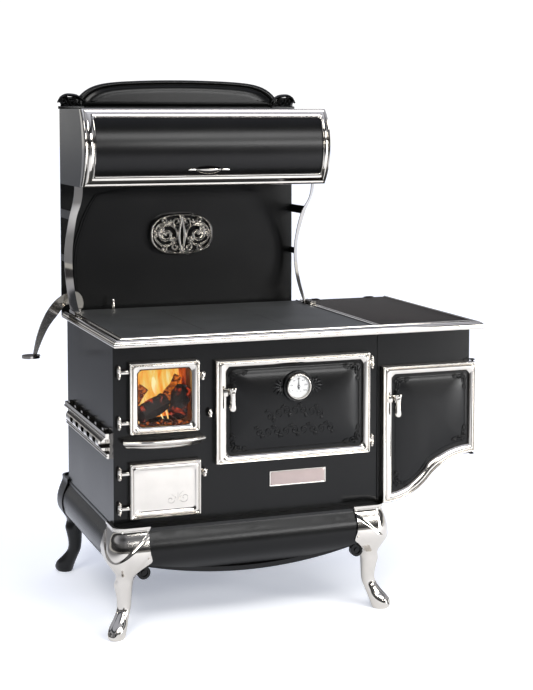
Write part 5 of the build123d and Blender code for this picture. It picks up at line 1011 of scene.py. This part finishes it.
# share of the member from the outer edge, distance out from the curve, radius of the corners
CLOSET_MOULDING = (
    (0, -8, 1), (0, -1.5, 1), (0.03, 0.8, 1.5), (0.09, 1.8, 2), (0.17, 1.2, 2.5), (0.24, -0.6, 3),
    (0.28, -1.4, 3), (0.32, -0.4, 3.5), (0.42, 1.0, 4), (0.6, 1.6, 5), (0.72, 0.9, 5.5), (0.78, -0.8, 6),
    (0.82, -1.2, 6), (0.86, 0.3, 6.5), (0.92, 1.0, 7), (0.97, 0.1, 7.5), (1, -2.5, 7.5), (1, -8, 7.5))


def along_curve(z):
    """Distance along the closet's curve at a height."""
    return CLOSET_RADIUS * asin((z - AXIS_Z) / CLOSET_RADIUS)


def bent(x, s, out):
    """Place on the closet's curve: x, distance along the curve, distance out from it."""
    turn, reach = s / CLOSET_RADIUS, CLOSET_RADIUS + out
    return x, AXIS_Y - reach * cos(turn), AXIS_Z + reach * sin(turn)


def closet_row(share, out, radius, along=14):
    """Row of points round the closet's front, with enough along the upright sides to bend."""
    x0, x1 = CLOSET[0] + share * CLOSET_MEMBERS[0], CLOSET[1] - share * CLOSET_MEMBERS[1]
    low, high = along_curve(CLOSET[2]), along_curve(CLOSET[3])
    s0 = low + share * (along_curve(WINDOW_LOW) - low)
    s1 = high - share * (high - along_curve(WINDOW_HIGH))
    corners = [(x, s) for x, y, s in rounded_box(x0, x1, s0, s1, radius, 0)]
    points = []
    for i, (x, s) in enumerate(corners):
        points.append(bent(x, s, out))
        nx, ns = corners[(i + 1) % len(corners)]
        if (i + 1) % (CORNER_STEPS + 3) == 0 and abs(ns - s) > abs(nx - x):
            points += [bent(x, s + (ns - s) * k / along, out) for k in range(1, along)]
    return points


CHEEK_STEPS, CHEEK_HALF, CHEEK_THICK = 24, 117.5, 4
CHEEK_FRONT_RADIUS, CHEEK_BACK_RADIUS, CHEEK_BACK_AXIS = 162, 205, 584


def cheek_row(x):
    """Outline of a cheek in y and z: the closet's curve in front, a flatter curve behind."""
    out = CHEEK_FRONT_RADIUS - CLOSET_RADIUS
    half = CLOSET_RADIUS * asin(CHEEK_HALF / CLOSET_RADIUS)
    front = [bent(x, half * (1 - 2 * i / CHEEK_STEPS), out) for i in range(CHEEK_STEPS + 1)]
    rise = (front[0][2] - front[-1][2]) / CHEEK_STEPS
    levels = [front[-1][2] + rise * i for i in range(CHEEK_STEPS + 1)]
    return front + [(x, CHEEK_BACK_AXIS - sqrt(CHEEK_BACK_RADIUS ** 2 - (z - AXIS_Z) ** 2), z)
                    for z in levels]


shape = skin([closet_row(*step) for step in CLOSET_MOULDING], ring=True)
for x0 in (CLOSET[0], CLOSET[1] - CHEEK_THICK):
    skin([cheek_row(x) for x in (x0, x0 + CHEEK_THICK)], shape)
PIN_Z = 1434
PIN_Y = AXIS_Y - sqrt(CLOSET_RADIUS ** 2 - (PIN_Z - AXIS_Z) ** 2) + 9
PINS_X = ((43, 1), (762, -1))      # place of each pin, and the way it points
CLOSET_PIN = ((-8, 0), (-8, 5.5), (-1.2, 5.5), (-1.2, 2.4), (15, 2.4), (16, 0))
for x, side in PINS_X:
    turned(shape, (x, PIN_Y, PIN_Z), (side, 0, 0), CLOSET_PIN, 16)
set_piece("closet_front_casting", shape, nickel, "stove", "closet_frame", crease=40)
dress(black_enamel, "closet_door")

PULL_X, PULL_Z = 395, 1285
PULL_REACH = (43, 19, 15)
shape = bmesh.new()
bmesh.ops.create_uvsphere(shape, u_segments=40, v_segments=20, radius=1)
bmesh.ops.scale(shape, vec=PULL_REACH, verts=shape.verts)
for cut, way in (((0, 0, 0.5), UP), ((0, 4, 0), INWARD)):
    bmesh.ops.bisect_plane(shape, geom=whole(shape), plane_co=cut, plane_no=way, clear_outer=True)
bmesh.ops.recalc_face_normals(shape, faces=shape.faces)
bmesh.ops.solidify(shape, geom=shape.faces[:], thickness=1.6)
pull_y = AXIS_Y - sqrt(CLOSET_DOOR_RADIUS ** 2 - (PULL_Z - 12 - AXIS_Z) ** 2)
bmesh.ops.translate(shape, vec=(PULL_X, pull_y - 1, PULL_Z), verts=shape.verts)
for side in (-1, 1):
    near, far = sorted((PULL_X + side * 41, PULL_X + side * 66))
    bar(shape, near, far, pull_y - 8, pull_y - 2, PULL_Z - 5, PULL_Z + 0.5, 1.6)
set_piece("closet_cup_pull", shape, nickel, "closet_door", "closet_pull")


# ---- Crest ----
# Black casting on the closet: an arched cushion inside a round bead, with a leafy scroll at each end.
CREST_BACK = 690
CREST_MIDDLE = BODY_WIDTH / 2
CREST_HALF, CREST_FOOT, CREST_TOP = 332, 1467, 1561
CREST_POINTS = 60                  # steps along the arch
END_START, END_REACH = 2, 84       # the block under each end's scroll


def crest_row(step, y):
    """Row of points round the crest's arched outline, moved in by a step."""
    points = []
    for i in range(CREST_POINTS + 1):
        share = 1 - 2 * i / CREST_POINTS
        run = abs(share)
        rise = (CREST_TOP - CREST_FOOT - 1) * (1 - 0.17 * run ** 2 - 0.45 * run ** 9)
        room = rise - 1.6 * step
        room = (room + hypot(room, 8)) / 2
        points.append((CREST_MIDDLE + (CREST_HALF - step) * share, y, CREST_FOOT + 0.6 * step + room - 0.5))
    return points + [(x, y, CREST_FOOT + 0.6 * step) for x in (points[-1][0], points[0][0])]


# distance in from the outline, and depth
CREST_STEPS = ((0, 0), (0, -9), (2, -13), (5, -15.5), (9, -15), (12, -12), (13.5, -9.5), (15, -10), (18, -13),
               (23, -16), (30, -17.6), (36, -18), (42, -18))
shape = skin([crest_row(step, CREST_BACK + out) for step, out in CREST_STEPS])
set_piece("crest_casting", shape, black_enamel, "stove", "crest", slot="black_enamel", crease=50)

# the leafy scroll that closes the crest's left end, from its foot
CREST_END = scrollwork(
    ((17, 26, 20, -60, 470, 0.16, 26, 1.5), (48, 17, 15, 20, 430, 0.16, 24, 1.2)),
    ((60, 30, 200, 24, 5, 110, 1.3), (34, 12, 200, 22, 4, 120, 1.2), (74, 8, 160, 22, 4, 90, 1.2)),
    (((82, 24, 1.2), (66, 40, 1.7), (44, 44, 1.8), (22, 45, 1.5), (6, 34, 1.2), (-1, 20, 0.9)),))
shape = bmesh.new()
ends = shifted(CREST_END, 0, CREST_FOOT)
strands(shape, ends + flipped(ends, x=CREST_MIDDLE), 2.9, lambda x, z: CREST_BACK - 13, 1.8)
for x0, x1 in ((END_START, END_REACH), (BODY_WIDTH - END_REACH, BODY_WIDTH - END_START)):
    bar(shape, x0, x1, CREST_BACK - 20, CREST_BACK - 1, CREST_FOOT, CREST_FOOT + 9, 2)
    bar(shape, x0 + 8, x1 - 2, CREST_BACK - 8, CREST_BACK - 2, CREST_FOOT + 4, CREST_FOOT + 38, 2)
set_piece("crest_end_scrolls", shape, black_casting, "stove", "crest_scrolls",
          slot="black_casting", crease=50)


# ---- Vent ----
# Open filigree in an oval plated ring that stands off the backguard: two round vine scrolls on a
# middle stem, with small leaves above and below.
VENT_X, VENT_Z = 395.5, 1065
VENT_WIDE, VENT_TALL = 105, 67     # from its middle to its edge
VENT_POINTS = 72
VENT_BACK, VENT_FRONT = 672, 644
# distance in from the oval's edge, and depth
VENT_STEPS = ((0, VENT_BACK), (0, 650), (1, 646.4), (3.4, VENT_FRONT), (6, 645.4), (7.6, 648.4), (8.6, 652),
              (8.6, VENT_BACK))
# the right half's scrolls, stems and leaves, from the oval's middle
VENT_SCROLLS = ((52, 0, 38, 200, -560, 0.12, 40, 1.5), (50, -2, 20, 40, -420, 0.2, 24, 1.2),
                (17, 40, 15, 250, 400, 0.2, 20, 1.1), (22, -42, 14, 100, -400, 0.2, 20, 1.1),
                (60, 44, 11, 240, -380, 0.2, 18, 1.0), (60, -46, 11, 100, 380, 0.2, 18, 1.0))
VENT_STEMS = (((0, 58, 1.1), (3, 40, 1.2), (7, 20, 1.5), (10, 0, 1.6), (9, -20, 1.5), (5, -40, 1.2),
               (0, -58, 1.0)),
              ((14, 8, 1.2), (32, 30, 1.2), (58, 38, 1.2), (84, 26, 1.0), (93, 6, 0.8)),
              ((14, -10, 1.2), (32, -32, 1.2), (58, -39, 1.2), (84, -26, 1.0), (93, -6, 0.8)))
VENT_LEAVES = ((62, 6, 20, 26, 5, 150, 1.0), (36, -12, 230, 18, 4, 120, 0.9), (84, 0, 0, 15, 4, 160, 0.9),
               (2, 46, 70, 14, 3, 80, 0.8), (2, -46, 290, 14, 3, 80, 0.8), (40, 34, 100, 16, 3, 90, 0.8))
cast_nickel = plated("cast_nickel", (0.80, 0.77, 0.72), 0.24, 0.1)


def vent_row(step, y):
    """Row of points round the vent's oval, moved in by a step."""
    points = []
    for i in range(VENT_POINTS):
        c, s = cos(tau * i / VENT_POINTS), sin(tau * i / VENT_POINTS)
        points.append((VENT_X + (VENT_WIDE - step) * copysign(abs(c) ** 0.74, c), y,
                       VENT_Z + (VENT_TALL - step) * copysign(abs(s) ** 0.80, s)))
    return points


shape = skin([vent_row(*step) for step in VENT_STEPS], ring=True)
half = scrollwork(VENT_SCROLLS, VENT_LEAVES, VENT_STEMS)
vine = shifted(half + flipped(half, x=0), VENT_X, VENT_Z)
strands(shape, vine, 3.0, lambda x, z: VENT_FRONT + 5, 1.2)
set_piece("vent_filigree", shape, cast_nickel, "stove", "vent_grille", crease=50)


# ---- Studio: floor, sky, lights and camera ----
# A white floor with a painted bluish glow that lightens the shadow under the stove, and painted shade in
# front and to the left, a pale sky with darker bands that the nickel mirrors, a broad lamp from the upper
# left, three soft boxes for the sheen on the enamel, and the photograph's camera.
def fade(tree, distance, start, end, low):
    """Soft rise from low at start to 1 at end."""
    span = {"From Min": start, "From Max": end, "To Min": low}
    return wired(tree, "MapRange", span, {"Value": distance}, interpolation_type="SMOOTHSTEP")["Result"]


def product(tree, first, second):
    """Two fades together."""
    return wired(tree, "Math", {}, {0: first, 1: second}, operation="MULTIPLY")["Value"]


mesh = bmesh.new()
bmesh.ops.create_grid(mesh, x_segments=1, y_segments=1, size=60)
data = bpy.data.meshes.new("studio_floor")
mesh.to_mesh(data)
mesh.free()
floor = linked("studio_floor", data)
PAPER_LOOK = {"Roughness": 1, "Specular IOR Level": 0, "Emission Strength": 1}
# the floor's colour, and a painted bluish glow that lightens the shadow under the stove as a fill light would
PAPER_COLOUR, PAINTED_FILL_GLOW = (0.93, 0.93, 0.93), (0.30, 0.32, 0.37)
floor_paint, tree, sockets, place = bare_finish("floor_paint", PAPER_LOOK)
split = wired(tree, "SeparateXYZ", {}, {"Vector": place})
# painted shade: the floor darkens in front and to the left, out of the picture, so the stove's enamel and
# nickel mirror a darker studio there
slant = wired(tree, "Math", {1: -0.175}, {0: split["Y"], 2: split["X"]}, operation="MULTIPLY_ADD")["Value"]
painted_floor_shade = product(tree, fade(tree, split["Y"], -6.0, -3.0, 0.22), fade(tree, slant, -1.9, -0.78, 0.28))
# the floor's colour and its painted glow both fade with the painted shade
for socket, colour in (("Base Color", PAPER_COLOUR), ("Emission Color", PAINTED_FILL_GLOW)):
    tree.links.new(toned(tree, painted_floor_shade, ((0, (0, 0, 0)), (1, colour))), sockets[socket])
data.materials.append(floor_paint)

# height of a direction above the horizon, as a share of straight up, and the sky's colour there
SKY = ((0.0, (1.08, 1.08, 1.08)), (0.078, (1.08, 1.08, 1.08)), (0.10, (0.10, 0.10, 0.11)),
       (0.26, (0.10, 0.10, 0.11)), (0.32, (0.95, 0.97, 1.05)), (0.44, (0.85, 0.88, 1.0)),
       (0.50, (0.10, 0.11, 0.13)), (0.66, (0.10, 0.11, 0.13)), (0.72, (1.05, 1.10, 1.28)),
       (1.0, (1.05, 1.10, 1.28)))
world = bpy.data.worlds.new("studio_sky")
bpy.context.scene.world = world
world.use_nodes = True
tree = world.node_tree
backdrop = tree.nodes["Background"].inputs
direction = wired(tree, "TexCoord", {}, {})["Generated"]
split = wired(tree, "SeparateXYZ", {}, {"Vector": direction})
# away from the picture's own backdrop the studio is dimmer
dim = product(tree, fade(tree, split["X"], -0.30, 0.08, 0.60), fade(tree, split["Y"], -0.75, -0.1, 0.35))
tree.links.new(toned(tree, split["Z"], SKY), backdrop["Color"])
tree.links.new(dim, backdrop["Strength"])

key = bpy.data.lights.new("broad_key", "SUN")
key.energy = 1.25
key.angle = radians(22)
key.color = (1.0, 0.985, 0.96)
lamp = linked("broad_key", key)
lamp.rotation_euler = (radians(38), radians(-26), 0)


def soft_box(name, place, target, width, height, power):
    """Rectangular lamp aimed at a point."""
    light = bpy.data.lights.new(name, "AREA")
    light.shape = "RECTANGLE"
    light.size, light.size_y = width, height
    light.energy = power
    box = linked(name, light)
    box.location = place
    box.rotation_euler = (Vector(target) - Vector(place)).to_track_quat("-Z", "Y").to_euler()


soft_box("right_box", (3.0, -3.2, 0.9), (0.2, 0, 0.6), 0.9, 1.6, 90)
soft_box("front_box", (2.1, -4.4, 2.0), (0.1, -0.3, 0.7), 2.6, 0.5, 80)
soft_box("upper_box", (1.0, -3.4, 3.0), (0.1, 0, 1.0), 2.2, 0.8, 60)

PHOTO_HEIGHT = 690
FOCAL_PIXELS = 1507.7
SENSOR = 36
PITCH, TURN = -4.329, -19.938
CAMERA_AT = (-1.5034, -4.3473, 1.4524)
SHIFT_UP = -0.17
lens = bpy.data.cameras.new("photo_camera")
lens.sensor_width = SENSOR
lens.lens = FOCAL_PIXELS * SENSOR / PHOTO_HEIGHT
lens.shift_y = SHIFT_UP
camera = linked("photo_camera", lens)
camera.location = CAMERA_AT
camera.rotation_euler = (radians(90 + PITCH), 0, radians(TURN))
bpy.context.scene.camera = camera
bpy.context.scene.view_settings.view_transform = "Standard"
